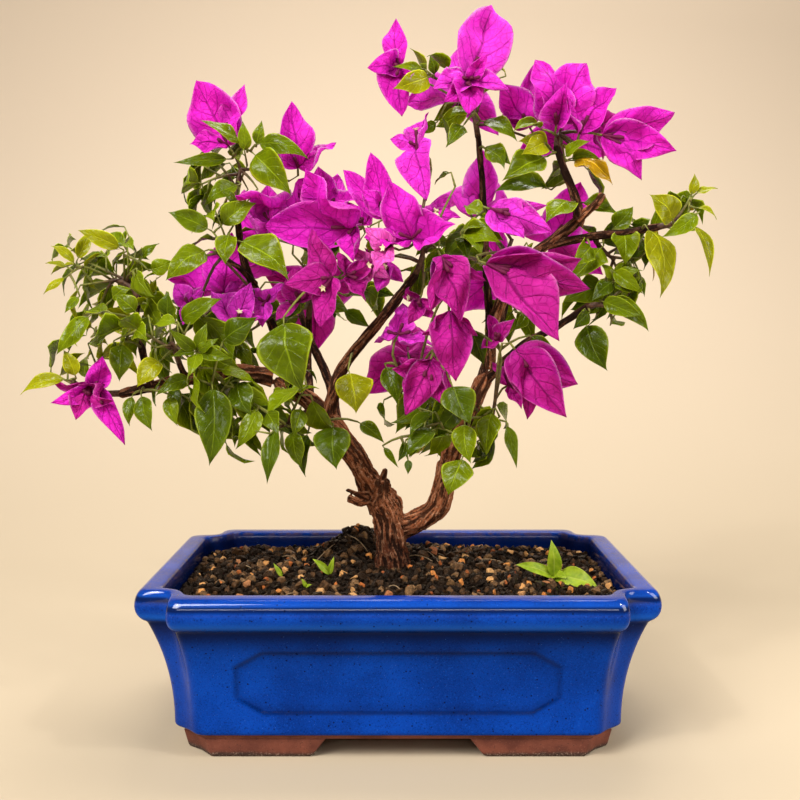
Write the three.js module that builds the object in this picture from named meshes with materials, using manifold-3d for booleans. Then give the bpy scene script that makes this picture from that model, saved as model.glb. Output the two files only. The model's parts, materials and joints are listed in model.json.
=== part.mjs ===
// A flowering bougainvillea bonsai in a blue glazed pot with notched corners, on four clay feet.
// Millimetres, +Z up, the front of the pot towards -Y. The plant is worked out about the middle of
// the pot, and then moved so that the origin is on the table under the middle of the whole.
import * as THREE from 'three';
import { mergeVertices } from 'three/addons/utils/BufferGeometryUtils.js';
import Module from 'manifold-3d';

const wasm = await Module();
wasm.setup();

// Driving dimensions of the pot
const POT_WIDTH = 256;
const POT_DEPTH = 176;
const POT_HEIGHT = 81;
const TABLE = -2.4; // the table lies a little under the level that heights are measured from
const FOOT_TOP = 7.5;
const BASE_THICK = 2.5;
const BEAD = { low: 65, crest: 73, roll: 4.6, turn: 75 }; // its foot, its widest, its round top and underside
const RIM_WIDTH = 13;
const WALL_THICK = 9;
const FLOOR_THICK = 9;
const FLARE = 17; // how far the foot of the wall stands in from the bead
const NECK = 5; // the same where the wall would meet the underside of the bead
const NECK_HEIGHT = 66;
const NOTCH_AT_RIM = { leg: 19.5, square: 0.97 }; // a square of 1 is a right-angled notch, of 0.5 a flat cant
const NOTCH_AT_BASE = { leg: 13.5, square: 0.56 };
const PANEL = { width: 156, low: 21.3, high: 53.5, cut: 13.2, rise: 8, depth: 1.2 };
const SIDE_PANEL_WIDTH = 76;
const FOOT_ARM = { x: 72, y: 46, thick: 15, taper: 8, inset: 1.8 };
const BASE_INSET = 4; // how far the clay stands in from the foot of the wall
const DRAIN = { x: 55, radius: 8 };

// Driving dimensions of the plant
const GROUND = 78.4; // height of the soil at the trunk
const SOIL_AT_WALL = 71;
const MOUND = { x: -25, y: 36, height: 12, spread: 21 };
const CLODS = { columns: 10, rows: 6, spacing: 22, push: 8, height: 4, spread: 8 };
const TRUNK_AT = { x: -3, y: 0 };
const GAP = 0.3; // kept between pieces that touch
const TWIG_RADIUS = 1.2;
const STEM_STEPS = 4;
const BLOOM_NECK = 4; // the straight end of a bloom's stalk
const SIZES_TRIED = [1, 0.82, 0.66]; // of a blade, until one finds room
const LEAF_THICK = 0.9;
const BRACT_THICK = 0.9;
const GOLDEN_ANGLE = Math.PI * (3 - Math.sqrt(5));
const CROWN_MIDDLE = new THREE.Vector3(0, 0, 215);
const UP = new THREE.Vector3(0, 0, 1);

const GLAZE = new THREE.MeshStandardMaterial({ color: 0x0b3fb4, roughness: 0.15, metalness: 0 });
const CLAY = new THREE.MeshStandardMaterial({ color: 0x7a3526, roughness: 0.85, metalness: 0 });
const SOIL = new THREE.MeshStandardMaterial({ color: 0x2b211b, roughness: 1, metalness: 0 });
const BARK = new THREE.MeshStandardMaterial({ color: 0x6b452f, roughness: 0.95, metalness: 0 });
const FOLIAGE = new THREE.MeshStandardMaterial({ color: 0x4c7a1c, roughness: 0.4, metalness: 0 });
const BLOSSOM = new THREE.MeshStandardMaterial({ color: 0xc81fb4, roughness: 0.6, metalness: 0 });

// Solids

// A closed geometry as a solid.
function solidOf(geometry) {
  const bare = new THREE.BufferGeometry().setAttribute('position', geometry.getAttribute('position'));
  if (geometry.index) bare.setIndex(geometry.index);
  const merged = mergeVertices(bare, 1e-4);
  return new wasm.Manifold(new wasm.Mesh({
    numProp: 3,
    vertProperties: new Float32Array(merged.attributes.position.array),
    triVerts: new Uint32Array(merged.index.array),
  }));
}

// A solid as a geometry that a mesh can wear.
function geometryOf(solid) {
  const { numProp, numVert, vertProperties, triVerts } = solid.getMesh();
  const position = new Float32Array(numVert * 3);
  for (let i = 0; i < numVert; i++) {
    position.set(vertProperties.subarray(i * numProp, i * numProp + 3), i * 3);
  }
  const geometry = new THREE.BufferGeometry();
  geometry.setAttribute('position', new THREE.BufferAttribute(position, 3));
  geometry.setIndex(new THREE.BufferAttribute(triVerts, 1));
  geometry.computeVertexNormals();
  return geometry;
}

// The largest body of a solid, without its loose scraps.
function largestBody(solid) {
  return solid.decompose().reduce((best, body) => (body.volume() > best.volume() ? body : best));
}

// The triangles of a convex ring's cap.
function fanFaces(ring) {
  return ring.slice(2).map((_, i) => [0, i + 1, i + 2]);
}

// The triangles of a level ring's cap, whatever its outline.
function outlineFaces(ring) {
  return THREE.ShapeUtils.triangulateShape(ring.map((p) => new THREE.Vector2(p.x, p.y)), []);
}

// A closed skin over a row of rings of equal count, each turning left about the way of travel.
function loft(rings, capFaces) {
  const count = rings[0].length;
  const index = [];
  rings.slice(1).forEach((_, k) => {
    for (let i = 0; i < count; i++) {
      const here = k * count + i;
      const next = k * count + ((i + 1) % count);
      index.push(here, next, next + count, here, next + count, here + count);
    }
  });
  const last = (rings.length - 1) * count;
  for (const [a, b, c] of capFaces(rings[0])) index.push(a, c, b);
  for (const [a, b, c] of capFaces(rings.at(-1))) index.push(last + a, last + b, last + c);
  const geometry = new THREE.BufferGeometry().setFromPoints(rings.flat());
  return geometry.setIndex(index);
}

// A seeded row of numbers from 0 to 1.
function seeded(seed) {
  let state = seed >>> 0;
  return () => {
    state = (state + 0x6d2b79f5) >>> 0;
    let t = state;
    t = Math.imul(t ^ (t >>> 15), t | 1);
    t ^= t + Math.imul(t ^ (t >>> 7), t | 61);
    return ((t ^ (t >>> 14)) >>> 0) / 4294967296;
  };
}

// The pot

// A rectangle with a notch in each corner, as points that turn left. Every corner is rounded.
function notchedOutline(halfX, halfY, { leg, square }, round, arcSteps = 2) {
  const quarter = [
    [halfX, halfY - leg], [halfX - square * leg, halfY - square * leg], [halfX - leg, halfY],
  ];
  const mirrored = (signX, signY) => {
    const turned = quarter.map(([x, y]) => new THREE.Vector2(signX * x, signY * y));
    return signX * signY > 0 ? turned : turned.reverse();
  };
  const corners = [[1, 1], [-1, 1], [-1, -1], [1, -1]].flatMap(([x, y]) => mirrored(x, y));
  return corners.flatMap((corner, k) => {
    const [start, end] = [corners.at(k - 1), corners[(k + 1) % corners.length]].map((next) => (
      corner.clone().add(next.clone().sub(corner).setLength(round))
    ));
    return new THREE.QuadraticBezierCurve(start, corner, end).getPoints(arcSteps);
  });
}

// How far the outside of the wall stands in from the bead at a height.
function wallInset(z) {
  const foot = FOOT_TOP + BASE_THICK;
  const rise = THREE.MathUtils.clamp((z - foot) / (NECK_HEIGHT - foot), 0, 1);
  return FLARE + (NECK - FLARE) * rise ** 2.2;
}

// A level ring of the pot: how far it stands in from the bead, and its height.
function potRing(inset, z, round) {
  const flare = THREE.MathUtils.clamp(inset / FLARE, 0, 1);
  const notch = {
    leg: THREE.MathUtils.lerp(NOTCH_AT_RIM.leg, NOTCH_AT_BASE.leg, flare),
    square: THREE.MathUtils.lerp(NOTCH_AT_RIM.square, NOTCH_AT_BASE.square, flare),
  };
  const outline = notchedOutline(POT_WIDTH / 2 - inset, POT_DEPTH / 2 - inset, notch, round);
  return outline.map((p) => new THREE.Vector3(p.x, p.y, z));
}

// The outside of the pot from the glaze line up to the top of its rolled bead, sunk in by a depth. The bead
// is rounded under and over its widest place.
function outerRings(sunk) {
  const foot = FOOT_TOP + BASE_THICK;
  const rings = [potRing(FLARE + 2 + sunk, foot, 2.5), potRing(FLARE + sunk, foot + 2, 3)];
  for (const share of [0.3, 0.55, 0.75, 0.9]) {
    const z = THREE.MathUtils.lerp(foot, NECK_HEIGHT, share);
    rings.push(potRing(wallInset(z) + sunk, z, 3));
  }
  const under = THREE.MathUtils.degToRad(BEAD.turn);
  const width = wallInset(BEAD.low) / (1 - Math.cos(under));
  const height = (BEAD.crest - BEAD.low) / Math.sin(under);
  for (const share of [1, 0.75, 0.5, 0.25, 0]) {
    const inset = width * (1 - Math.cos(under * share));
    rings.push(potRing(inset + sunk, BEAD.crest - height * Math.sin(under * share), 4.5 - 1.5 * share));
  }
  for (const angle of [30, 60, 90].map(THREE.MathUtils.degToRad)) {
    const z = THREE.MathUtils.lerp(BEAD.crest, POT_HEIGHT, Math.sin(angle));
    rings.push(potRing(BEAD.roll * (1 - Math.cos(angle)) + sunk, z, 4.5));
  }
  return rings;
}

// A ring of the inside wall of the pot, or of the soil that fills it to a gap.
const INNER_LEVELS = [56, 38];

function innerRing(z, gap) {
  const inset = Math.max(RIM_WIDTH, wallInset(z) + WALL_THICK);
  return potRing(inset + gap, z, 3.5);
}

function octagon(width) {
  const { low, high, cut, rise } = PANEL;
  const half = width / 2;
  const shape = new THREE.Shape();
  shape.moveTo(-half + cut, low);
  shape.lineTo(half - cut, low);
  shape.lineTo(half, low + rise);
  shape.lineTo(half, high - rise);
  shape.lineTo(half - cut, high);
  shape.lineTo(-half + cut, high);
  shape.lineTo(-half, high - rise);
  shape.lineTo(-half, low + rise);
  return shape;
}

// A panel's prism, standing out level from the middle of the pot along a heading.
function panelPrism(width, heading) {
  const prism = new THREE.ExtrudeGeometry(octagon(width), { depth: POT_WIDTH, bevelEnabled: false });
  prism.rotateX(Math.PI / 2).rotateZ(heading);
  return solidOf(prism);
}

function drainHole(side) {
  const hole = new THREE.CylinderGeometry(DRAIN.radius, DRAIN.radius, 4 * FLOOR_THICK, 16);
  hole.rotateX(Math.PI / 2).translate(side * DRAIN.x, 0, FOOT_TOP + FLOOR_THICK);
  return solidOf(hole);
}

function potBody() {
  const floor = FOOT_TOP + BASE_THICK + FLOOR_THICK;
  const levels = [POT_HEIGHT, POT_HEIGHT - 3, SOIL_AT_WALL, ...INNER_LEVELS, floor];
  const inside = levels.map((z) => innerRing(z, 0));
  let pot = solidOf(loft([...outerRings(0), ...inside], outlineFaces));
  const core = solidOf(loft(outerRings(PANEL.depth), outlineFaces));
  [PANEL.width, SIDE_PANEL_WIDTH, PANEL.width, SIDE_PANEL_WIDTH].forEach((width, turn) => {
    pot = pot.subtract(panelPrism(width, (turn * Math.PI) / 2).subtract(core));
  });
  return pot.subtract(drainHole(-1)).subtract(drainHole(1));
}

function potBase() {
  const rings = [FOOT_TOP, FOOT_TOP + BASE_THICK].map((z) => potRing(FLARE + BASE_INSET, z, 2.5));
  return solidOf(loft(rings, outlineFaces)).subtract(drainHole(-1)).subtract(drainHole(1));
}

// One foot: an angle round a corner of the base, its ends and its outside drawn in towards the table.
function potFoot(signX, signY) {
  const { x, y, thick, taper, inset } = FOOT_ARM;
  const ring = (z, drawn) => {
    const outX = POT_WIDTH / 2 - FLARE - BASE_INSET - drawn * inset;
    const outY = POT_DEPTH / 2 - FLARE - BASE_INSET - drawn * inset;
    const { leg, square } = NOTCH_AT_BASE;
    const endX = outX - x + drawn * taper;
    const endY = outY - y + drawn * taper;
    const corners = [
      [outX, endY], [outX, outY - leg], [outX - square * leg, outY - square * leg], [outX - leg, outY],
      [endX, outY], [endX, outY - thick], [outX - leg - thick / 2, outY - thick],
      [outX - thick, outY - leg - thick / 2], [outX - thick, endY],
    ];
    const turned = corners.map(([px, py]) => new THREE.Vector3(signX * px, signY * py, z));
    return signX * signY > 0 ? turned : turned.reverse();
  };
  return solidOf(loft([ring(TABLE, 1.3), ring(TABLE + 1.5, 1), ring(FOOT_TOP, 0)], outlineFaces));
}

// The soil

// The clods of the bed: one to each square of a grid, pushed off its middle, each of its own height.
function clodsOfBed() {
  const { columns, rows, spacing, push, height } = CLODS;
  const random = seeded(40);
  const clods = [];
  for (let column = 0; column < columns; column++) {
    for (let row = 0; row < rows; row++) {
      clods.push({
        x: (column - (columns - 1) / 2) * spacing + (2 * random() - 1) * push,
        y: (row - (rows - 1) / 2) * spacing + (2 * random() - 1) * push,
        height: height * (0.4 + 0.6 * random()),
      });
    }
  }
  return clods;
}

const clods = clodsOfBed();

function soilHeight(x, y) {
  const fromTrunk = Math.hypot(x - TRUNK_AT.x, y - TRUNK_AT.y);
  const rise = (GROUND - SOIL_AT_WALL) * Math.exp(-((fromTrunk / 62) ** 2));
  const away = Math.hypot(x - MOUND.x, y - MOUND.y) / MOUND.spread;
  const clear = THREE.MathUtils.smoothstep(fromTrunk, 10, 30);
  const rim = wallInset(SOIL_AT_WALL) + WALL_THICK + GAP;
  const edge = Math.min(POT_WIDTH / 2 - rim - Math.abs(x), POT_DEPTH / 2 - rim - Math.abs(y));
  let lumps = 0;
  for (const clod of clods) {
    const off = Math.hypot(x - clod.x, y - clod.y) / CLODS.spread;
    lumps += clod.height * Math.exp(-(off ** 2));
  }
  lumps *= THREE.MathUtils.smoothstep(edge, 0, 10);
  return SOIL_AT_WALL + rise + clear * (MOUND.height * Math.exp(-(away ** 2)) + lumps);
}

// The soil is lofted over rings of the pot's inside, their long sides parted into short steps.
function soilBed() {
  const floor = FOOT_TOP + BASE_THICK + FLOOR_THICK + GAP;
  const top = innerRing(SOIL_AT_WALL, GAP);
  const steps = top.map((p, k) => Math.ceil(p.distanceTo(top[(k + 1) % top.length]) / CLODS.spacing * 2));
  const parted = (ring) => ring.flatMap((p, k) => Array.from({ length: steps[k] }, (_, step) => (
    p.clone().lerp(ring[(k + 1) % ring.length], step / steps[k])
  )));
  const wall = parted(top);
  const shrunk = (share) => wall.map((p) => {
    const x = THREE.MathUtils.lerp(TRUNK_AT.x, p.x, share);
    const y = THREE.MathUtils.lerp(TRUNK_AT.y, p.y, share);
    return new THREE.Vector3(x, y, soilHeight(x, y));
  });
  const pad = shrunk(0.14).map((p) => p.setZ(GROUND));
  const rings = [floor, ...[...INNER_LEVELS].reverse()].map((z) => parted(innerRing(z, GAP)));
  rings.push(wall);
  for (const share of [0.93, 0.86, 0.78, 0.7, 0.62, 0.54, 0.46, 0.38, 0.3, 0.22]) rings.push(shrunk(share));
  return solidOf(loft([...rings, pad], outlineFaces));
}

// Trunk and boughs

// A limb is a smooth line with a diameter at its foot and one at its tip. The fields are the limb it
// grows from, the places it passes through, and the two diameters.
const LIMBS = {
  left_bough: {
    from: 'trunk', diameters: [14.5, 8.5], sides: 9,
    through: [[-8, 2, 108], [-17, 2, 126], [-25, 0, 140], [-34, -2, 153], [-46, -3, 166], [-66, -2, 179]],
  },
  left_arm: {
    from: 'left_bough', diameters: [9.5, 5], sides: 8,
    through: [[-67, -2, 180], [-85, -4, 183], [-102, -8, 181], [-133, -16, 175], [-146, -18, 172]],
  },
  left_riser: {
    from: 'left_arm', diameters: [4.6, 3.2], sides: 6,
    through: [[-129, -15, 176], [-134, -12, 194], [-138, -8, 211], [-137, -5, 224]],
  },
  left_rear_spur: {
    from: 'left_arm', diameters: [5, 3.2], sides: 6,
    through: [[-98, -7, 182], [-100, 10, 192], [-105, 22, 202]],
  },
  left_front_spur: {
    from: 'left_arm', diameters: [4.2, 3], sides: 6,
    through: [[-112, -10, 180], [-112, -21, 186], [-112, -28, 190]],
  },
  left_under_spur: {
    from: 'left_arm', diameters: [4, 3], sides: 6,
    through: [[-88, -4, 182], [-90, -16, 176], [-94, -23, 170]],
  },
  left_foot_spur: {
    from: 'left_bough', diameters: [4.4, 3], sides: 6,
    through: [[-42, -3, 162], [-49, -18, 162], [-55, -27, 158]],
  },
  left_upper_bough: {
    from: 'left_bough', diameters: [6, 3.6], sides: 7,
    through: [[-57, -3, 174], [-66, 4, 203], [-83, 8, 242], [-87, 8, 270]],
  },
  left_whorl_spur: {
    from: 'left_upper_bough', diameters: [3.6, 2.8], sides: 6,
    through: [[-77, 7, 230], [-84, -4, 238], [-91, -10, 243]],
  },
  centre_bough: {
    from: 'left_bough', diameters: [7.5, 4.6], sides: 7,
    through: [[-38, -2, 158], [-30, -8, 184], [-8, -16, 212], [10, -23, 235]],
  },
  centre_left_spur: {
    from: 'left_bough', diameters: [5.5, 3.4], sides: 6,
    through: [[-47, -3, 167], [-49, 8, 190], [-48, 6, 214]],
  },
  back_left_bough: {
    from: 'left_bough', diameters: [6.5, 3.8], sides: 7,
    through: [[-33, -1, 152], [-38, 24, 174], [-50, 46, 198], [-57, 56, 214]],
  },
  right_bough: {
    from: 'trunk', diameters: [10.5, 6.4], sides: 9,
    through: [[-2, 1, 97], [12, 0, 103], [21, -1, 110], [25, 0, 124], [29, 2, 139], [48, 5, 182]],
  },
  right_low_spur: {
    from: 'right_bough', diameters: [4.2, 3], sides: 6,
    through: [[36, 3, 154], [42, -10, 158], [46, -20, 157]],
  },
  centre_low_spur: {
    from: 'right_bough', diameters: [4.2, 3], sides: 6,
    through: [[41, 4, 164], [30, -6, 172], [21, -12, 174]],
  },
  back_low_bough: {
    from: 'right_bough', diameters: [5, 3.4], sides: 6,
    through: [[31, 2, 143], [24, 22, 158], [12, 40, 168]],
  },
  right_low_limb: {
    from: 'right_bough', diameters: [5.4, 3.6], sides: 6,
    through: [[46, 5, 176], [65, -2, 196], [85, -8, 208], [101, -12, 219]],
  },
  back_right_bough: {
    from: 'right_bough', diameters: [6, 3.8], sides: 7,
    through: [[44, 5, 171], [50, 26, 190], [60, 46, 212], [64, 56, 226]],
  },
  right_limb: {
    from: 'right_bough', diameters: [7, 6], sides: 7,
    through: [[48.5, 5, 184], [52, 6, 210], [66, 5, 240], [84, 2, 254], [96, 0, 264]],
  },
  top_stem: {
    from: 'right_limb', diameters: [4.8, 3.4], sides: 6,
    through: [[50, 6, 203], [48, 12, 238], [46, 14, 281], [43, 14, 312]],
  },
  right_centre_spur: {
    from: 'right_limb', diameters: [4, 3], sides: 6,
    through: [[56, 6, 222], [54, -10, 232], [54, -20, 238]],
  },
  right_top_limb: {
    from: 'right_limb', diameters: [5.6, 4], sides: 7,
    through: [[96.5, 0, 264.5], [94, 1, 276], [88, 2, 291], [84, 4, 304]],
  },
  right_tip_limb: {
    from: 'right_limb', diameters: [5.4, 3.6], sides: 7,
    through: [[80, 3, 251], [104, -2, 255], [122, -4, 257], [139, -6, 260]],
  },
  right_mid_spur: {
    from: 'right_tip_limb', diameters: [3.4, 2.6], sides: 6,
    through: [[104, -1, 255], [108, 10, 252], [112, 16, 249]],
  },
};
const TRUNK = {
  through: [[-3, 0, GROUND], [-4, 0, 92], [-5, 1, 104], [-9, 2, 115], [-11, 1, 122]],
  diameters: [19.5, 17, 17.2, 18, 12],
};
const STUBS = { // cut back to short ends, fused to the limb they stand on
  trunk: [
    { through: [[-10, -1, 116], [-20, -4, 113.5], [-27, -6, 116]], diameters: [8, 4.5], sides: 7 },
    { through: [[-8, 0, 116], [-7.5, -3, 125], [-8, -3, 130]], diameters: [7, 4], sides: 7 },
  ],
  right_limb: [{ through: [[95, 0, 263], [103, -2, 271], [109, -3, 277]], diameters: [5.4, 4], sides: 6 }],
};

const vector = ([x, y, z]) => new THREE.Vector3(x, y, z);

// A direction to measure from that isn't near a heading.
function sideways(heading) {
  return Math.abs(heading.z) > 0.9 ? new THREE.Vector3(1, 0, 0) : UP;
}

// A direction square to another, as close as it can be to a wish.
function squareTo(wish, direction) {
  return wish.clone().addScaledVector(direction, -wish.dot(direction)).normalize();
}

const lineThrough = (points) => new THREE.CatmullRomCurve3(points.map(vector));

// Rings along a line at shares of its length. The radius may change with the share and round the ring.
function ringsAlong(line, shares, radiusAt, sides) {
  const first = line.getTangentAt(0);
  let normal = squareTo(sideways(first), first);
  return shares.map((share) => {
    const middle = line.getPointAt(share);
    const heading = line.getTangentAt(share);
    normal = squareTo(normal, heading);
    const across = new THREE.Vector3().crossVectors(heading, normal);
    return Array.from({ length: sides }, (_, i) => {
      const angle = (2 * Math.PI * i) / sides;
      const radius = radiusAt(share, angle);
      return middle.clone()
        .addScaledVector(normal, radius * Math.cos(angle))
        .addScaledVector(across, radius * Math.sin(angle));
    });
  });
}

const evenShares = (steps) => Array.from({ length: steps + 1 }, (_, k) => k / steps);

function limbSolid({ through, diameters, sides }, grown = 0) {
  const line = lineThrough(through);
  const steps = Math.max(3, Math.round(line.getLength() / 13));
  const radiusAt = (share) => THREE.MathUtils.lerp(diameters[0], diameters[1], share) / 2 + grown;
  return solidOf(loft(ringsAlong(line, evenShares(steps), radiusAt, sides), fanFaces));
}

// The trunk flares to a flat cut on the ground and is fluted, like stems grown together.
function trunkSolid(grown = 0) {
  const { through, diameters } = TRUNK;
  const radiusAt = (share, angle) => {
    const place = share * (diameters.length - 1);
    const low = Math.min(Math.floor(place), diameters.length - 2);
    const diameter = THREE.MathUtils.lerp(diameters[low], diameters[low + 1], place - low);
    return (diameter / 2) * (1 + 0.07 * Math.cos(4 * angle + 0.6)) + grown;
  };
  const rings = ringsAlong(lineThrough(through), evenShares(9), radiusAt, 16);
  rings[0].forEach((p) => p.setZ(GROUND - grown));
  return solidOf(loft(rings, fanFaces));
}

// Every limb, trimmed back by the gap from each limb made before it, with the solids that others keep off.
function growLimbs() {
  const limbs = new Map();
  const withStubs = (name, solid, grown) => (STUBS[name] ?? [])
    .reduce((whole, stub) => whole.add(limbSolid(stub, grown)), solid);
  limbs.set('trunk', {
    solid: withStubs('trunk', trunkSolid(), 0),
    grown: withStubs('trunk', trunkSolid(GAP), GAP),
  });
  for (const [name, spec] of Object.entries(LIMBS)) {
    let solid = withStubs(name, limbSolid(spec), 0);
    for (const earlier of limbs.values()) solid = solid.subtract(earlier.grown);
    const line = lineThrough(spec.through);
    limbs.set(name, {
      solid: largestBody(solid),
      grown: withStubs(name, limbSolid(spec, GAP), GAP),
      tip: line.getPointAt(1),
      heading: line.getTangentAt(1),
      tipRadius: spec.diameters[1] / 2,
    });
  }
  return limbs;
}

// Skins

// A closed skin of four-sided faces. A face can be drawn out to a ring of four points, which leaves four
// faces at the sides and one at the end, or pinched to a tip. Faces turn left seen from outside.
class Skin {
  constructor(ring) {
    this.points = ring.map((p) => p.clone());
    this.end = [0, 1, 2, 3];
    this.faces = new Set([[3, 2, 1, 0], this.end]);
  }

  corners(face) {
    return face.map((i) => this.points[i]);
  }

  drawOut(face, ring) {
    const from = this.corners(face);
    const twist = (turn) => from.reduce((sum, p, i) => sum + p.distanceToSquared(ring[(i + turn) % 4]), 0);
    const turn = [0, 1, 2, 3].reduce((best, t) => (twist(t) < twist(best) ? t : best));
    const end = face.map((_, i) => this.points.push(ring[(i + turn) % 4]) - 1);
    const sides = face.map((here, i) => [here, face[(i + 1) % 4], end[(i + 1) % 4], end[i]]);
    this.faces.delete(face);
    for (const side of [...sides, end]) this.faces.add(side);
    return { sides, end };
  }

  pinch(face, tip) {
    const last = this.points.push(tip) - 1;
    this.faces.delete(face);
    face.forEach((here, i) => this.faces.add([here, face[(i + 1) % face.length], last]));
  }

  trianglesOf(faces) {
    return [...faces].flatMap((face) => fanFaces(face).map((three) => three.map((i) => face[i])));
  }

  // Whether an edge of one triangle goes through another. An edge at a corner that they share doesn't.
  pierces(one, other) {
    return one.some((from, i) => {
      const to = one[(i + 1) % 3];
      if (other.includes(from) || other.includes(to)) return false;
      const way = this.points[to].clone().sub(this.points[from]);
      const ray = new THREE.Ray(this.points[from], way.clone().normalize());
      const met = ray.intersectTriangle(...other.map((k) => this.points[k]), false, new THREE.Vector3());
      return met !== null && met.distanceTo(ray.origin) < way.length();
    });
  }

  // Whether the faces that aren't among the earlier ones go through themselves or through those.
  cutsItself(earlier) {
    const boxed = (corners) => ({ corners, box: new THREE.Box3().setFromPoints(this.corners(corners)) });
    const all = this.trianglesOf(this.faces).map(boxed);
    const fresh = this.trianglesOf([...this.faces].filter((face) => !earlier.has(face))).map(boxed);
    return fresh.some((one) => all.some((other) => one.box.intersectsBox(other.box)
      && (this.pierces(one.corners, other.corners) || this.pierces(other.corners, one.corners))));
  }

  solid() {
    const index = this.trianglesOf(this.faces).flat();
    return solidOf(new THREE.BufferGeometry().setFromPoints(this.points).setIndex(index));
  }
}

function faceNormal(skin, face) {
  const [a, b, c, d] = skin.corners(face);
  return c.clone().sub(a).cross(d.clone().sub(b)).normalize();
}

// Of some faces, the free ones that look along a direction, the nearest to it first.
function facesTowards(skin, faces, direction) {
  const looks = (face) => faceNormal(skin, face).dot(direction);
  return faces
    .filter((face) => skin.faces.has(face) && looks(face) > 0.12)
    .sort((one, other) => looks(other) - looks(one));
}

// Leaves and bracts

// A blade's sections and tip on a bent midrib. A section has a share of the length and of the half width.
const LEAF_SECTIONS = [[0.48, 1]];
const BRACT_SECTIONS = [[0.36, 0.95], [0.7, 0.8]];

function bladeShape({ base, along, face, curl, fold, thick, sections, ...full }, size, grown) {
  const length = full.length * size;
  const halfWidth = full.halfWidth * size;
  const across = new THREE.Vector3().crossVectors(face, along);
  const place = (share, side, lift) => base.clone()
    .addScaledVector(along, ((length + grown) * Math.sin(curl * share)) / curl)
    .addScaledVector(face, lift + Math.abs(side) * fold - (length * (1 - Math.cos(curl * share))) / curl)
    .addScaledVector(across, side);
  const half = thick / 2 + grown;
  const rings = sections.map(([share, width]) => [
    place(share, width * halfWidth + grown, 0),
    place(share, 0, half),
    place(share, -width * halfWidth - grown, 0),
    place(share, 0, -half),
  ]);
  return { rings, tip: place(1, 0, 0) };
}

// A leaf on a twig: it leaves at an angle, hangs a little, and turns its face up and out of the crown.
function leafAt(line, share, turn, mass, random) {
  const heading = line.getTangentAt(share);
  const side = squareTo(sideways(heading), heading);
  const along = side.applyAxisAngle(heading, turn).multiplyScalar(0.85).addScaledVector(heading, 0.5);
  along.z -= mass.droop * (0.6 + 0.8 * random());
  along.normalize();
  const base = line.getPointAt(share);
  const outward = base.clone().sub(CROWN_MIDDLE).setZ(0).normalize();
  const wish = UP.clone().multiplyScalar(0.8).addScaledVector(outward, 0.9);
  const face = squareTo(wish, along).applyAxisAngle(along, (random() - 0.5) * 0.9);
  const length = mass.leaf * (0.8 + 0.4 * random());
  const halfWidth = length * (0.27 + 0.06 * random());
  const curl = 0.3 + 0.7 * random();
  return {
    base, along, face, length, halfWidth, curl, fold: 0.12, thick: LEAF_THICK, sections: LEAF_SECTIONS,
  };
}

// A bloom is three bracts that open round the end of their stalk, their faces towards its axis.
function bractsOf({ at, facing, open, roll, size }) {
  const axis = vector(facing).normalize();
  const side = squareTo(sideways(axis), axis);
  const tilt = THREE.MathUtils.degToRad(open);
  return [0, 1, 2].map((k) => {
    const radial = side.clone().applyAxisAngle(axis, THREE.MathUtils.degToRad(roll + 120 * k));
    return {
      base: vector(at),
      along: axis.clone().multiplyScalar(Math.cos(tilt)).addScaledVector(radial, Math.sin(tilt)),
      face: axis.clone().multiplyScalar(Math.sin(tilt)).addScaledVector(radial, -Math.cos(tilt)),
      length: size,
      halfWidth: size * Math.min(0.34, 0.54 * Math.sin(tilt)),
      curl: 0.4, fold: 0, thick: BRACT_THICK, sections: BRACT_SECTIONS, segment: 2,
    };
  });
}

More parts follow.
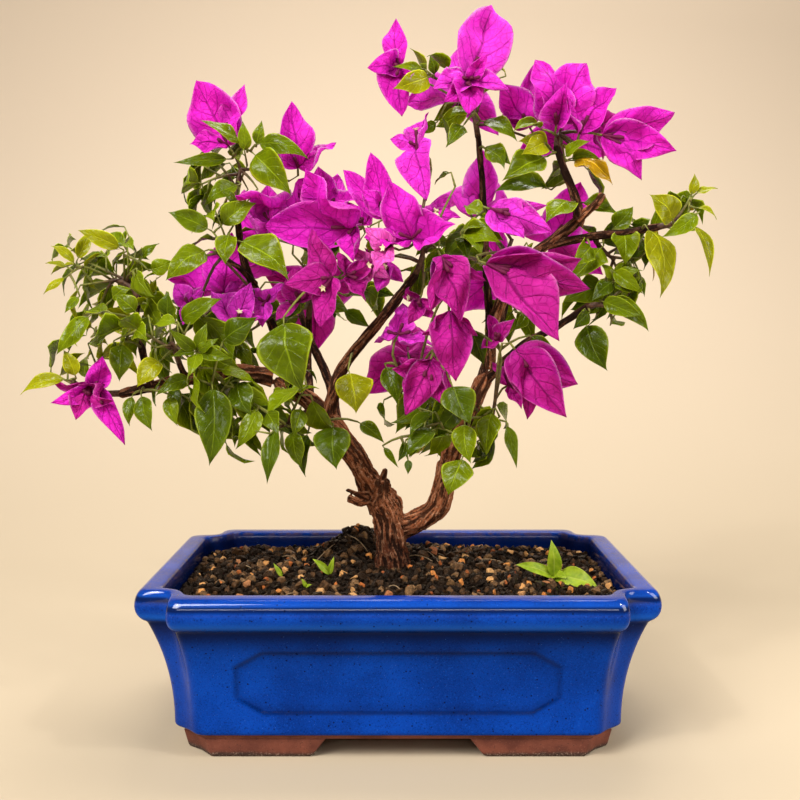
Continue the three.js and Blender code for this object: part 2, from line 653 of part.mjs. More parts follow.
// The masses of foliage. The fields are the limb whose tip carries the mass, the middle and the reach
// of its space, how many leafy twigs it has, leaves on each, the length of a leaf, how much they hang,
// and its blooms: where the stalk ends, the way the bloom faces, how far it opens and turns in degrees,
// and the length of a bract.
const MASSES = {
  left_tip: {
    on: 'left_arm', middle: [-170, -20, 180], reach: [36, 34, 28],
    twigs: 4, leaves: 6, leaf: 23, droop: 0.15,
    blooms: [{ at: [-156, -28, 170], facing: [-0.7, -0.5, -0.4], open: 45, roll: 20, size: 34 }],
  },
  left_upper: {
    on: 'left_riser', middle: [-152, -3, 232], reach: [42, 42, 30],
    twigs: 7, leaves: 6, leaf: 25, droop: 0.15,
    blooms: [],
  },
  left_rear: {
    on: 'left_rear_spur', middle: [-112, 34, 212], reach: [44, 40, 34],
    twigs: 6, leaves: 6, leaf: 29, droop: 0.3,
    blooms: [{ at: [-100, 40, 226], facing: [-0.2, 0.6, 0.7], open: 45, roll: 10, size: 36 }],
  },
  left_front: {
    on: 'left_front_spur', middle: [-113, -40, 200], reach: [44, 30, 26],
    twigs: 6, leaves: 6, leaf: 29, droop: 0.4,
    blooms: [],
  },
  left_under: {
    on: 'left_under_spur', middle: [-98, -30, 164], reach: [36, 32, 36],
    twigs: 5, leaves: 6, leaf: 34, droop: 0.9,
    blooms: [],
  },
  left_foot: {
    on: 'left_foot_spur', middle: [-58, -34, 158], reach: [34, 34, 38],
    twigs: 6, leaves: 6, leaf: 31, droop: 0.9,
    blooms: [],
  },
  left_whorl: {
    on: 'left_whorl_spur', middle: [-94, -14, 246], reach: [40, 36, 34],
    twigs: 6, leaves: 6, leaf: 30, droop: 0.35,
    blooms: [{ at: [-88, -24, 222], facing: [-0.4, -0.75, -0.1], open: 55, roll: 30, size: 34 }],
  },
  left_crown: {
    on: 'left_upper_bough', middle: [-84, 6, 292], reach: [42, 40, 34],
    twigs: 6, leaves: 6, leaf: 28, droop: 0.2,
    blooms: [
      { at: [-92, 4, 310], facing: [-0.25, 0.05, 0.95], open: 28, roll: 190, size: 36 },
      { at: [-49, -2, 299], facing: [0.3, -0.45, 0.65], open: 58, roll: 0, size: 38 },
    ],
  },
  centre_left: {
    on: 'centre_left_spur', middle: [-46, -4, 248], reach: [40, 34, 44],
    twigs: 4, leaves: 5, leaf: 26, droop: 0.4,
    blooms: [
      { at: [-26, -24, 262], facing: [-0.6, -0.45, 0.5], open: 45, roll: 60, size: 40 },
      { at: [-24, -30, 234], facing: [0, -0.95, 0.1], open: 72, roll: 90, size: 37 },
      { at: [-58, -10, 222], facing: [-0.5, -0.5, 0.1], open: 60, roll: 40, size: 35 },
      { at: [-62, 8, 262], facing: [-0.3, 0.1, 0.8], open: 50, roll: 0, size: 36 },
    ],
  },
  centre: {
    on: 'centre_bough', middle: [12, -28, 258], reach: [40, 36, 42],
    twigs: 4, leaves: 5, leaf: 26, droop: 0.4,
    blooms: [
      { at: [-11, -14, 274], facing: [-0.1, -0.1, 0.95], open: 34, roll: 20, size: 38 },
      { at: [15, -42, 250], facing: [0, -0.8, 0.55], open: 62, roll: 0, size: 40 },
      { at: [23, -12, 284], facing: [-0.25, -0.15, 0.9], open: 40, roll: 180, size: 38 },
      { at: [24, -44, 241], facing: [0.2, -0.5, -0.8], open: 50, roll: 0, size: 36 },
    ],
  },
  centre_low: {
    on: 'centre_low_spur', middle: [6, -18, 176], reach: [36, 36, 40],
    twigs: 6, leaves: 6, leaf: 28, droop: 0.9,
    blooms: [
      { at: [28, -48, 222], facing: [0, -0.35, -0.95], open: 30, roll: 180, size: 42 },
      { at: [-8, -20, 196], facing: [-0.2, -0.8, 0.1], open: 60, roll: 30, size: 34 },
      { at: [14, -40, 190], facing: [-0.1, -0.5, -0.8], open: 52, roll: 0, size: 40 },
    ],
  },
  top: {
    on: 'top_stem', middle: [38, 12, 330], reach: [46, 40, 30],
    twigs: 6, leaves: 6, leaf: 25, droop: 0.25,
    blooms: [
      { at: [9, 6, 335], facing: [-0.75, -0.5, 0.1], open: 65, roll: 0, size: 36 },
      { at: [37, 0, 338], facing: [0.1, -0.85, 0.3], open: 78, roll: 0, size: 42 },
      { at: [68, 12, 318], facing: [-0.2, -0.4, 0.85], open: 42, roll: 160, size: 38 },
      { at: [34, 30, 334], facing: [0.1, 0.8, 0.5], open: 60, roll: 20, size: 36 },
    ],
  },
  right_top: {
    on: 'right_top_limb', middle: [86, 6, 310], reach: [46, 40, 38],
    twigs: 6, leaves: 6, leaf: 30, droop: 0.35,
    blooms: [
      { at: [84, 0, 318], facing: [-0.2, -0.25, 0.95], open: 28, roll: 180, size: 38 },
      { at: [95, -6, 312], facing: [0.3, -0.3, 0.9], open: 30, roll: 180, size: 40 },
      { at: [110, -6, 312], facing: [0.88, -0.3, -0.1], open: 38, roll: 60, size: 42 },
      { at: [92, 34, 312], facing: [0.2, 0.75, 0.5], open: 55, roll: 0, size: 37 },
    ],
  },
  right_tip: {
    on: 'right_tip_limb', middle: [150, -8, 262], reach: [17, 34, 34],
    twigs: 6, leaves: 6, leaf: 26, droop: 0.45,
    blooms: [],
  },
  right_mid: {
    on: 'right_mid_spur', middle: [120, 24, 244], reach: [32, 34, 30],
    twigs: 5, leaves: 6, leaf: 30, droop: 0.5,
    blooms: [],
  },
  right_centre: {
    on: 'right_centre_spur', middle: [58, -26, 252], reach: [36, 36, 34],
    twigs: 5, leaves: 6, leaf: 27, droop: 0.4,
    blooms: [
      { at: [54, -30, 272], facing: [0.95, -0.3, -0.1], open: 30, roll: 60, size: 32 },
      { at: [52, -50, 246], facing: [0.8, -0.35, -0.4], open: 42, roll: 60, size: 48 },
    ],
  },
  right_low_tip: {
    on: 'right_low_limb', middle: [112, -14, 216], reach: [32, 34, 32],
    twigs: 5, leaves: 6, leaf: 28, droop: 0.45,
    blooms: [],
  },
  right_low: {
    on: 'right_low_spur', middle: [48, -30, 160], reach: [36, 36, 40],
    twigs: 7, leaves: 6, leaf: 30, droop: 0.75,
    blooms: [
      { at: [52, -36, 206], facing: [-0.2, -0.9, 0.35], open: 60, roll: 0, size: 24 },
      { at: [62, -42, 196], facing: [0.5, -0.4, -0.75], open: 36, roll: 0, size: 42 },
    ],
  },
  back_left: {
    on: 'back_left_bough', middle: [-58, 70, 236], reach: [52, 42, 52],
    twigs: 8, leaves: 6, leaf: 30, droop: 0.35,
    blooms: [
      { at: [-84, 74, 246], facing: [-0.5, 0.6, 0.5], open: 50, roll: 0, size: 38 },
      { at: [-46, 86, 264], facing: [0.1, 0.6, 0.75], open: 45, roll: 30, size: 38 },
      { at: [-52, 92, 224], facing: [0, 0.9, 0.1], open: 65, roll: 60, size: 38 },
    ],
  },
  back_right: {
    on: 'back_right_bough', middle: [66, 70, 246], reach: [52, 42, 52],
    twigs: 8, leaves: 6, leaf: 30, droop: 0.35,
    blooms: [
      { at: [50, 82, 276], facing: [-0.1, 0.6, 0.75], open: 45, roll: 0, size: 38 },
      { at: [92, 76, 258], facing: [0.6, 0.6, 0.4], open: 50, roll: 30, size: 40 },
      { at: [62, 94, 236], facing: [0, 0.95, 0], open: 65, roll: 0, size: 38 },
    ],
  },
  back_low: {
    on: 'back_low_bough', middle: [8, 54, 172], reach: [44, 38, 38],
    twigs: 6, leaves: 6, leaf: 30, droop: 0.8,
    blooms: [{ at: [6, 66, 190], facing: [0, 0.85, -0.3], open: 55, roll: 0, size: 38 }],
  },
};

// What a mass would have, by its seeded rule: a stem from its limb to its middle, a stalk for each bloom,
// and leafy twigs spread evenly about the middle, with two leaves on their way and the rest at their end.
function planMass(mass, limb, seed) {
  const random = seeded(seed);
  const middle = vector(mass.middle);
  const start = limb.tip.clone().addScaledVector(limb.heading, GAP);
  const bend = start.clone().addScaledVector(limb.heading, start.distanceTo(middle) * 0.5);
  const stem = new THREE.QuadraticBezierCurve3(start, bend, middle);
  const stalks = mass.blooms.map((bloom, k) => {
    const share = 0.3 + (0.6 * (k + 0.5)) / mass.blooms.length;
    const from = stem.getPointAt(share);
    const neck = vector(bloom.facing).setLength(BLOOM_NECK);
    const to = vector(bloom.at).sub(neck);
    const far = from.distanceTo(to);
    const leave = from.clone().lerp(to, 0.3).addScaledVector(stem.getTangentAt(share), 0.15 * far);
    const arrive = to.clone().addScaledVector(neck, (-0.3 * far) / BLOOM_NECK);
    const line = new THREE.CubicBezierCurve3(from, leave, arrive, to);
    return { line, share, shares: [0, 0.5, 1], neck, blades: bractsOf(bloom) };
  });
  const twigs = Array.from({ length: mass.twigs }, (_, k) => {
    const height = 1 - (2 * (k + 0.5)) / mass.twigs;
    const around = k * GOLDEN_ANGLE + random() * 0.8;
    const level = Math.sqrt(1 - height * height);
    const out = new THREE.Vector3(level * Math.cos(around), level * Math.sin(around), height);
    const tip = middle.clone().addScaledVector(out.multiply(vector(mass.reach)), 0.55 + 0.15 * random());
    const share = 0.35 + 0.65 * ((k + 0.5) / mass.twigs);
    const from = stem.getPointAt(share);
    const bow = from.clone().lerp(tip, 0.45);
    bow.addScaledVector(stem.getTangentAt(share), 0.2 * from.distanceTo(tip));
    const line = new THREE.QuadraticBezierCurve3(from, bow, tip);
    const turn = random() * Math.PI * 2;
    const blades = Array.from({ length: mass.leaves }, (__, j) => ({
      ...leafAt(line, j < 2 ? 0.66 : 0.9, turn + j * GOLDEN_ANGLE, mass, random),
      segment: j < 2 ? 1 : 2,
    }));
    return { line, share, shares: [0, 0.54, 0.78, 1], blades };
  });
  return { stem, stalks, twigs };
}

// The first result that isn't null.
function firstOf(list, attempt) {
  for (const item of list) {
    const result = attempt(item);
    if (result) return result;
  }
  return null;
}

const boxesMeet = (a, b) => [0, 1, 2].every((i) => a.min[i] <= b.max[i] && b.min[i] <= a.max[i]);

// Grows every mass into the room that the limbs and the other masses leave: first all the stems, then the
// blooms, then the leafy twigs. What would touch is left out, and so is what hangs on it.
function growMasses(limbs) {
  const taken = [];
  const take = (solid, owner) => taken.push({ solid, box: solid.boundingBox(), owner });
  const isFree = (bare, grown, owner) => {
    const box = grown.boundingBox();
    return taken.every((piece) => !boxesMeet(piece.box, box)
      || (piece.owner === owner ? bare : grown).intersect(piece.solid).volume() < 1e-4);
  };
  const grow = (skin, face, shape) => {
    const sides = [];
    let end = face;
    for (const ring of shape.rings) {
      const drawn = skin.drawOut(end, ring);
      sides.push(drawn.sides);
      end = drawn.end;
    }
    if (shape.tip) skin.pinch(end, shape.tip);
    return sides;
  };
  // Draws a shape out of a face where there is room, and gives back the faces at its sides.
  const tryToGrow = (skin, face, shapeAt, owner) => {
    const lift = faceNormal(skin, face).multiplyScalar(0.1);
    const [bare, grown] = [0, GAP].map((gap) => {
      const test = new Skin(skin.corners(face).map((p) => p.clone().add(lift)));
      grow(test, test.end, shapeAt(gap));
      return test.solid();
    });
    if (!isFree(bare, grown, owner)) return null;
    const earlier = new Set(skin.faces);
    const sides = grow(skin, face, shapeAt(0));
    if (skin.cutsItself(earlier)) {
      skin.faces = earlier;
      return null;
    }
    take(bare, owner);
    return sides;
  };

  for (const { solid } of limbs.values()) take(solid, null);
  const masses = Object.entries(MASSES).map(([name, mass], i) => {
    const limb = limbs.get(mass.on);
    const plan = planMass(mass, limb, 101 + i);
    const thick = Math.min(limb.tipRadius, 1.8);
    const radiusAt = (share) => THREE.MathUtils.lerp(thick, TWIG_RADIUS, share);
    const rings = ringsAlong(plan.stem, evenShares(STEM_STEPS), radiusAt, 4);
    const skin = new Skin(rings[0]);
    const sides = grow(skin, skin.end, { rings: rings.slice(1) });
    take(skin.solid(), name);
    return { name, plan, skin, sides };
  });
  for (const kind of ['stalks', 'twigs']) {
    const grownTwigs = [];
    for (const { name, plan, skin, sides } of masses) {
      for (const twig of plan[kind]) {
        const segment = Math.min(Math.floor(twig.share * STEM_STEPS), STEM_STEPS - 1);
        const heading = twig.line.getTangentAt(0.3);
        const others = sides.filter((_, k) => k !== segment).flat();
        const faces = [sides[segment], others].flatMap((some) => facesTowards(skin, some, heading));
        const shapeAt = (gap) => {
          const rings = ringsAlong(twig.line, twig.shares, () => 0.8 * TWIG_RADIUS + gap, 4).slice(1);
          if (twig.neck) rings.push(rings.at(-1).map((p) => p.clone().add(twig.neck)));
          return { rings };
        };
        const twigSides = firstOf(faces, (face) => tryToGrow(skin, face, shapeAt, name));
        if (twigSides) grownTwigs.push({ name, skin, twig, twigSides });
      }
    }
    for (const { name, skin, twig, twigSides } of grownTwigs) {
      for (const blade of twig.blades) {
        const faces = facesTowards(skin, twigSides[blade.segment], blade.along);
        firstOf(SIZES_TRIED, (size) => firstOf(faces, (face) => (
          tryToGrow(skin, face, (gap) => bladeShape(blade, size, gap), name)
        )));
      }
    }
  }
  return masses.map(({ name, skin }) => [name, skin.solid()]);
}

// The whole plant

const plant = new THREE.Group();

function place(name, solid, material) {
  const mesh = new THREE.Mesh(geometryOf(solid), material);
  mesh.name = name;
  plant.add(mesh);
}

place('pot_body', potBody(), GLAZE);
place('pot_base', potBase(), CLAY);
for (const [side, signX] of [['left', -1], ['right', 1]]) {
  for (const [end, signY] of [['front', -1], ['back', 1]]) {
    place(`foot_${end}_${side}`, potFoot(signX, signY), CLAY);
  }
}
place('soil', soilBed(), SOIL);
const limbs = growLimbs();
for (const [name, { solid }] of limbs) place(name, solid, BARK);
for (const [name, solid] of growMasses(limbs)) {
  place(`mass_${name}`, solid, MASSES[name].blooms.length > 1 ? BLOSSOM : FOLIAGE);
}

const box = new THREE.Box3().setFromObject(plant);
const middle = box.getCenter(new THREE.Vector3());
plant.position.set(-middle.x, -middle.y, -box.min.z);

const bonsai = new THREE.Group();
bonsai.add(plant);
export default bonsai;
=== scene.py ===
import itertools
import json
import math

import bmesh
import bpy
import numpy as np
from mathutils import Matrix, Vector, kdtree, noise

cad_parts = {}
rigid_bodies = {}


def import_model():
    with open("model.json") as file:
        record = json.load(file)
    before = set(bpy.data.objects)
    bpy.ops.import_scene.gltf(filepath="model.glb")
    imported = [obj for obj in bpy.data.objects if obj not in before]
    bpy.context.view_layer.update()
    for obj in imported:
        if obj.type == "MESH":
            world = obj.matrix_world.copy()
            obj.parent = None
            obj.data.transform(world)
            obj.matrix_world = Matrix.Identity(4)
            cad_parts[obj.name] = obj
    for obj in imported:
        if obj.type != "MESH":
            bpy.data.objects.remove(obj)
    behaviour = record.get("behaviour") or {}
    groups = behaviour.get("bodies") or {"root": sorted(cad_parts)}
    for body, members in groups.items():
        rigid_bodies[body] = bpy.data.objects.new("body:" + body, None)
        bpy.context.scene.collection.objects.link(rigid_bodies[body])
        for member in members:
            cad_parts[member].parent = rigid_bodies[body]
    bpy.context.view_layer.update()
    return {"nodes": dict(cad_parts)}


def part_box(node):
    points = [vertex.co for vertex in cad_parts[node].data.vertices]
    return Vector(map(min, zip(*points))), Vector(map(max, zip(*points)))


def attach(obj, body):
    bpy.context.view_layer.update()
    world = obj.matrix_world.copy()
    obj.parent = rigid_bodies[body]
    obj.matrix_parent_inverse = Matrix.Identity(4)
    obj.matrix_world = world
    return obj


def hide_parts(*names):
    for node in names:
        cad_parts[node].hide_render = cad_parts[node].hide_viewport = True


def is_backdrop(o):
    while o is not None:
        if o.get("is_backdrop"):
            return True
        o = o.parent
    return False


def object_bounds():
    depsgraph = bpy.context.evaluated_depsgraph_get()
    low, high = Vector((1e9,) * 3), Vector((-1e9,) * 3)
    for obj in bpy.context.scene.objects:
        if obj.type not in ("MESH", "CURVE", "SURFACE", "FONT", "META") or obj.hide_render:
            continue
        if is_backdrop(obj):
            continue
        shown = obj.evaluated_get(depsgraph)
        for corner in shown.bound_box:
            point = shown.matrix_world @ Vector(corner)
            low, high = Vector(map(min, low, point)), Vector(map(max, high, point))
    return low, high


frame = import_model()

# The four angle feet and the thin plate over them, of red-brown clay. They are pressed in one with the
# pot, left bare of glaze where the kiln shelf touched, and rubbed dark along the standing edge.
FEET = ("foot_front_left", "foot_front_right", "foot_back_left", "foot_back_right")
FOOT_EDGE, PLATE_EDGE = 0.0009, 0.0005
FLAT_ANGLE, EDGE_ANGLE, SHADING_ANGLE = 0.03, 0.25, math.radians(40)
POT_FOOT = 10  # height of the foot of the pot's wall in its own millimetres
pot_low, pot_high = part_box("pot_body")
POT_MIDDLE = np.array([*((pot_low + pot_high) / 2).xy, pot_low.z - POT_FOOT / 1000])


class Wire:
    """An output of a material's nodes. Sums on it add Math nodes, and add() makes any other node."""

    def __init__(self, tree, socket=None):
        self.tree = tree
        self.socket = socket

    def add(self, kind, settings, sockets, out=0):
        node = self.tree.nodes.new(kind)
        for key, value in settings.items():
            if key == "stops":
                while len(node.color_ramp.elements) < len(value):
                    node.color_ramp.elements.new(0.5)
                for stop, (place, colour) in zip(node.color_ramp.elements, value):
                    stop.position = place
                    stop.color = (*colour, 1)
            else:
                setattr(node, key, value)
        for key, value in sockets.items():
            socket = node.inputs[key]
            if isinstance(value, Wire):
                self.tree.links.new(value.socket, socket)
            else:
                socket.default_value = (*value, 1) if socket.type == "RGBA" else value
        return Wire(self.tree, node.outputs[out])

    def sum(self, operation, *values):
        return self.add("ShaderNodeMath", {"operation": operation}, dict(enumerate(values)))

    def __add__(self, other):
        return self.sum("ADD", self, other)

    __radd__ = __add__

    def __sub__(self, other):
        return self.sum("SUBTRACT", self, other)

    def __rsub__(self, other):
        return self.sum("SUBTRACT", other, self)

    def __mul__(self, other):
        return self.sum("MULTIPLY", self, other)

    __rmul__ = __mul__

    def noise(self, scale, detail=2.0, roughness=0.5):
        sockets = {"Vector": self, "Scale": scale, "Detail": detail, "Roughness": roughness}
        return self.add("ShaderNodeTexNoise", {}, sockets)

    def cells(self, scale, feature="F1"):
        return self.add("ShaderNodeTexVoronoi", {"feature": feature}, {"Vector": self, "Scale": scale})

    def step(self, low, high):
        sockets = {"Value": self, "From Min": low, "From Max": high}
        return self.add("ShaderNodeMapRange", {"interpolation_type": "SMOOTHSTEP"}, sockets)

    def tint(self, none, full):
        """The colour that goes from one to another as this share goes from 0 to 1."""
        return self.add("ShaderNodeMix", {"data_type": "RGBA"}, {0: self, 6: none, 7: full}, 2)

    def bump(self, strength, depth):
        return self.add("ShaderNodeBump", {}, {"Height": self, "Strength": strength, "Distance": depth})

    def stored(self, name, out="Fac"):
        return self.add("ShaderNodeAttribute", {"attribute_name": name}, {}, out)

    def axis(self, name):
        return self.add("ShaderNodeSeparateXYZ", {}, {0: self}, name)

    def into(self, name):
        self.tree.links.new(self.socket, self.tree.nodes["Principled BSDF"].inputs[name])


def surface(name, constants):
    """A new material with these values on its shader, and a wire of its Object coordinates."""
    material = bpy.data.materials.new(name)
    material.use_nodes = True
    for key, value in constants.items():
        material.node_tree.nodes["Principled BSDF"].inputs[key].default_value = value
    return material, Wire(material.node_tree).add("ShaderNodeTexCoord", {}, {}, "Object")


def piece(name, mesh, material, nodes=()):
    """A finished mesh as a piece of the plant, with its material, that may stand for CAD nodes."""
    mesh.materials.clear()
    mesh.materials.append(material)
    made = bpy.data.objects.new(name, mesh)
    bpy.context.scene.collection.objects.link(made)
    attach(made, "root")
    if nodes:
        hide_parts(*nodes)


def softened(node, width):
    """A copy of a CAD node's mesh with its triangles joined into flat faces and its edges rounded."""
    mesh = frame["nodes"][node].data.copy()
    work = bmesh.new()
    work.from_mesh(mesh)
    bmesh.ops.remove_doubles(work, verts=work.verts, dist=1e-6)
    bmesh.ops.dissolve_limit(work, angle_limit=FLAT_ANGLE, verts=work.verts, edges=work.edges)
    sharp = [edge for edge in work.edges if edge.calc_face_angle(0) > EDGE_ANGLE]
    bmesh.ops.bevel(
        work, geom=sharp, offset=width, segments=3, profile=0.5, affect="EDGES", clamp_overlap=True
    )
    bmesh.ops.triangulate(work, faces=[face for face in work.faces if len(face.verts) > 4])
    for face in work.faces:
        face.smooth = True
    work.to_mesh(mesh)
    work.free()
    mesh.set_sharp_from_angle(angle=SHADING_ANGLE)
    return mesh


clay, place = surface("bare_clay", {"Roughness": 0.78, "Specular IOR Level": 0.35})
grain = place.noise(1100, 4, 0.7)
smear = place.noise(70, 3)
worn = 1 - (place.axis("Z") + (smear - 0.5) * 0.003).step(0.0012, 0.0034)
colour = smear.step(0.3, 0.7).tint((0.11, 0.028, 0.017), (0.22, 0.062, 0.036))
colour = (grain.step(0.52, 0.8) * 0.5).tint(colour, (0.36, 0.14, 0.09))
colour = (place.cells(520).step(0.22, 0.08) * 0.7).tint(colour, (0.06, 0.022, 0.016))
rubbed = grain.step(0.5, 0.7).tint((0.028, 0.017, 0.013), (0.34, 0.25, 0.19))
(worn * 0.85).tint(colour, rubbed).into("Base Color")
(grain + smear * 0.6).bump(0.35, 0.0006).into("Normal")
for foot in FEET:
    piece("clay_" + foot, softened(foot, FOOT_EDGE), clay, [foot])
piece("clay_base_plate", softened("pot_base", PLATE_EDGE), clay, ["pot_base"])

# The pot, slip cast in one with a rolled bead at its rim, notched corners and a sunk panel in each
# side. Its cobalt glaze is thick and speckled and pools dark along the panels, with painted shade there,
# and the edges of the bead carry a painted sheen.
POT_WIDTH = 256
POT_DEPTH = 176
POT_HEIGHT = 81
FLOOR_TOP = 19
BEAD_LOW, BEAD_CREST, BEAD_ROLL, BEAD_TURN = 65, 73, 4.6, math.radians(75)
RIM_WIDTH = 13
WALL_THICK = 9
FLARE = 17
NECK, NECK_HEIGHT = 5, 66
NOTCH_AT_RIM = (19.5, 0.97)  # its leg, and how square it is: 1 is a right angle, 0.5 a flat cant
NOTCH_AT_BASE = (13.5, 0.56)
PANEL_LOW, PANEL_HIGH = 21.3, 53.5
PANEL_CUT, PANEL_RISE = 13.2, 8
PANEL_WIDTH, SIDE_PANEL_WIDTH = 156, 76
PANEL_DEPTH = 1.3
BASE_TUCK, BASE_ROLL = 3.4, 2.2
LIP_ROLL, LIP_DROP = 2, 1.6
TUCK_ROUND, BASE_ROUND, WALL_ROUND = 2.5, 3.6, 3.8  # how far each corner of a notch is rounded
BEAD_ROUND, LIP_ROUND, LINING_ROUND = 5.8, 4, 3.5
POT_STEPS = (150, 96, 6, 6)  # parts of a long side, a short side, a side of a notch and a rounding
RIPPLE, RIPPLE_PITCH = 0.25, 0.045
COVE_HEIGHT, COVE_BELOW, COVE_ABOVE = 64.5, 9, 1.7


def in_frame(points):
    """Points in millimetres about the middle of the pot, in metres in the frame."""
    return np.asarray(points, float) / 1000 + POT_MIDDLE


def smooth_step(value, low, high):
    """A share that goes smoothly from 0 at one value to 1 at another."""
    share = np.clip((value - low) / (high - low), 0, 1)
    return share * share * (3 - 2 * share)


def near(value, middle, spread, power=2):
    """A share that is 1 in the middle and falls away on both sides of it."""
    return np.exp(-(((value - middle) / spread) ** power))


def wall_inset(z):
    """How far the outside of the wall stands in from the bead at a height."""
    rise = np.clip((z - POT_FOOT) / (NECK_HEIGHT - POT_FOOT), 0, 1)
    return FLARE + (NECK - FLARE) * rise**2.2


def notched_ring(inset, z, radius, long_steps, side_steps, notch_steps, arc_steps):
    """A level ring of the pot, as points that turn left, with a rounded notch in each corner."""
    flare = min(max(inset / FLARE, 0), 1)
    leg, square = (rim + (base - rim) * flare for rim, base in zip(NOTCH_AT_RIM, NOTCH_AT_BASE))
    x, y = POT_WIDTH / 2 - inset, POT_DEPTH / 2 - inset
    quarter = [(x, y - leg), (x - square * leg, y - square * leg), (x - leg, y)]
    half = quarter + [(-a, b) for a, b in reversed(quarter)]
    corners = np.array(half + [(-a, -b) for a, b in half])
    ways = np.roll(corners, -1, 0) - corners
    ways /= np.linalg.norm(ways, axis=1)[:, None]
    t = np.linspace(0, 1, arc_steps + 1)[:, None]
    steps = [notch_steps, notch_steps, long_steps, notch_steps, notch_steps, side_steps] * 2
    points = []
    for k in range(12):
        start, end = corners[k] - ways[k - 1] * radius, corners[k] + ways[k] * radius
        arc = (1 - t) ** 2 * start + 2 * t * (1 - t) * corners[k] + t**2 * end
        follow = corners[(k + 1) % 12] - ways[k] * radius
        points += [arc, end + (follow - end) * np.linspace(0, 1, steps[k] + 1)[1:-1, None]]
    flat = np.vstack(points)
    return np.column_stack([flat, np.full(len(flat), z)])


def ring_faces(rows, columns):
    """The four-sided faces between rings of equal count, looking out where the rings turn left."""
    row, column = np.meshgrid(np.arange(rows - 1), np.arange(columns), indexing="ij")
    here = row * columns + column
    ahead = row * columns + (column + 1) % columns
    return np.stack([here, ahead, ahead + columns, here + columns], -1).reshape(-1, 4).tolist()


def cap_faces(start, columns, pole, upward):
    """The fan that closes a ring on a pole."""
    ring = [start + k for k in range(columns)]
    pairs = zip(ring, ring[1:] + ring[:1])
    return [(pole, a, b) if upward else (pole, b, a) for a, b in pairs]


def store(mesh, values):
    """Stores named numbers or vectors at a mesh's points, for its material to read."""
    for key, value in values.items():
        flat = np.asarray(value, np.float32)
        vector = flat.ndim == 2
        layer = mesh.attributes.new(key, "FLOAT_VECTOR" if vector else "FLOAT", "POINT")
        layer.data.foreach_set("vector" if vector else "value", flat.ravel())


def mesh_of(name, points, faces, values=None, smooth=True):
    """A mesh from millimetre points and faces, with values or vectors stored at its points."""
    mesh = bpy.data.meshes.new(name)
    mesh.from_pydata(in_frame(points).tolist(), [], faces)
    store(mesh, values or {})
    mesh.polygons.foreach_set("use_smooth", [smooth] * len(mesh.polygons))
    mesh.update()
    return mesh


def panel_edge(across, z, width):
    """How far a place on a side lies inside the edge of its eight-sided panel."""
    side = width / 2 - np.abs(across)
    level = np.minimum(z - PANEL_LOW, PANEL_HIGH - z)
    slant = (side - PANEL_CUT) * PANEL_RISE + level * PANEL_CUT
    return np.minimum(np.minimum(side, level), slant / math.hypot(PANEL_CUT, PANEL_RISE))


# inset, height and rounding of each ring, from the foot over the rim to the floor
rows = [(FLARE + BASE_TUCK, POT_FOOT, TUCK_ROUND)]
for turn in np.linspace(0.2, 1, 4) * math.pi / 2:
    z = POT_FOOT + BASE_ROLL * (1 - math.cos(turn))
    rows.append((FLARE + BASE_ROLL * (1 - math.sin(turn)), z, BASE_ROUND))
for z in [14, 16, 18, *np.arange(19.5, 55.5, 0.9), 57, 59, 60.5, 61.8, 63]:
    rows.append((wall_inset(z), z, WALL_ROUND))
wall_rows = len(rows)
rows.append((wall_inset(64) - 0.15, 64.2, WALL_ROUND))
bead_width = wall_inset(BEAD_LOW) / (1 - math.cos(BEAD_TURN))
bead_height = (BEAD_CREST - BEAD_LOW) / math.sin(BEAD_TURN)
for share in np.linspace(0.92, 0, 12):
    turn = BEAD_TURN * share
    z = BEAD_CREST - bead_height * math.sin(turn)
    rows.append((bead_width * (1 - math.cos(turn)), z, BEAD_ROUND - 2 * share))
for turn in np.linspace(0.12, 1, 8) * math.pi / 2:
    z = BEAD_CREST + (POT_HEIGHT - BEAD_CREST) * math.sin(turn)
    rows.append((BEAD_ROLL * (1 - math.cos(turn)), z, BEAD_ROUND))
lip_row = len(rows) + 3
for turn in np.linspace(0, 1, 5) * math.pi / 2:
    z = POT_HEIGHT - LIP_DROP * (1 - math.cos(turn))
    rows.append((RIM_WIDTH - LIP_ROLL * (1 - math.sin(turn)), z, LIP_ROUND))
for z in [77, 74, 70, 62, 50, 38, FLOOR_TOP]:
    rows.append((max(RIM_WIDTH, wall_inset(z) + WALL_THICK), z, LINING_ROUND))
rings = np.array([notched_ring(*row, *POT_STEPS) for row in rows])
insets = np.array([row[0] for row in rows])[:, None]
x, y, z = rings[..., 0].copy(), rings[..., 1].copy(), rings[..., 2]
row_number = np.arange(len(rows))[:, None]
on_wall = (z > 13) & (row_number < wall_rows)
front = on_wall & (np.abs(np.abs(y) - (POT_DEPTH / 2 - insets)) < 1e-6)
flank = on_wall & (np.abs(np.abs(x) - (POT_WIDTH / 2 - insets)) < 1e-6)
edge = np.full(x.shape, -50.0)
edge[front] = panel_edge(x[front], z[front], PANEL_WIDTH)
edge[flank] = panel_edge(y[flank], z[flank], SIDE_PANEL_WIDTH)
sunk = PANEL_DEPTH * smooth_step(edge, -1.2, 1.6)
rings[..., 1] -= np.where(front, np.sign(y) * sunk, 0)
rings[..., 0] -= np.where(flank, np.sign(x) * sunk, 0)
ripple = np.array([[noise.noise(Vector(p) * RIPPLE_PITCH) for p in ring] for ring in rings.tolist()])
rings[..., 1] += np.where(front, np.sign(y) * ripple * RIPPLE, 0)
rings[..., 0] += np.where(flank, np.sign(x) * ripple * RIPPLE, 0)
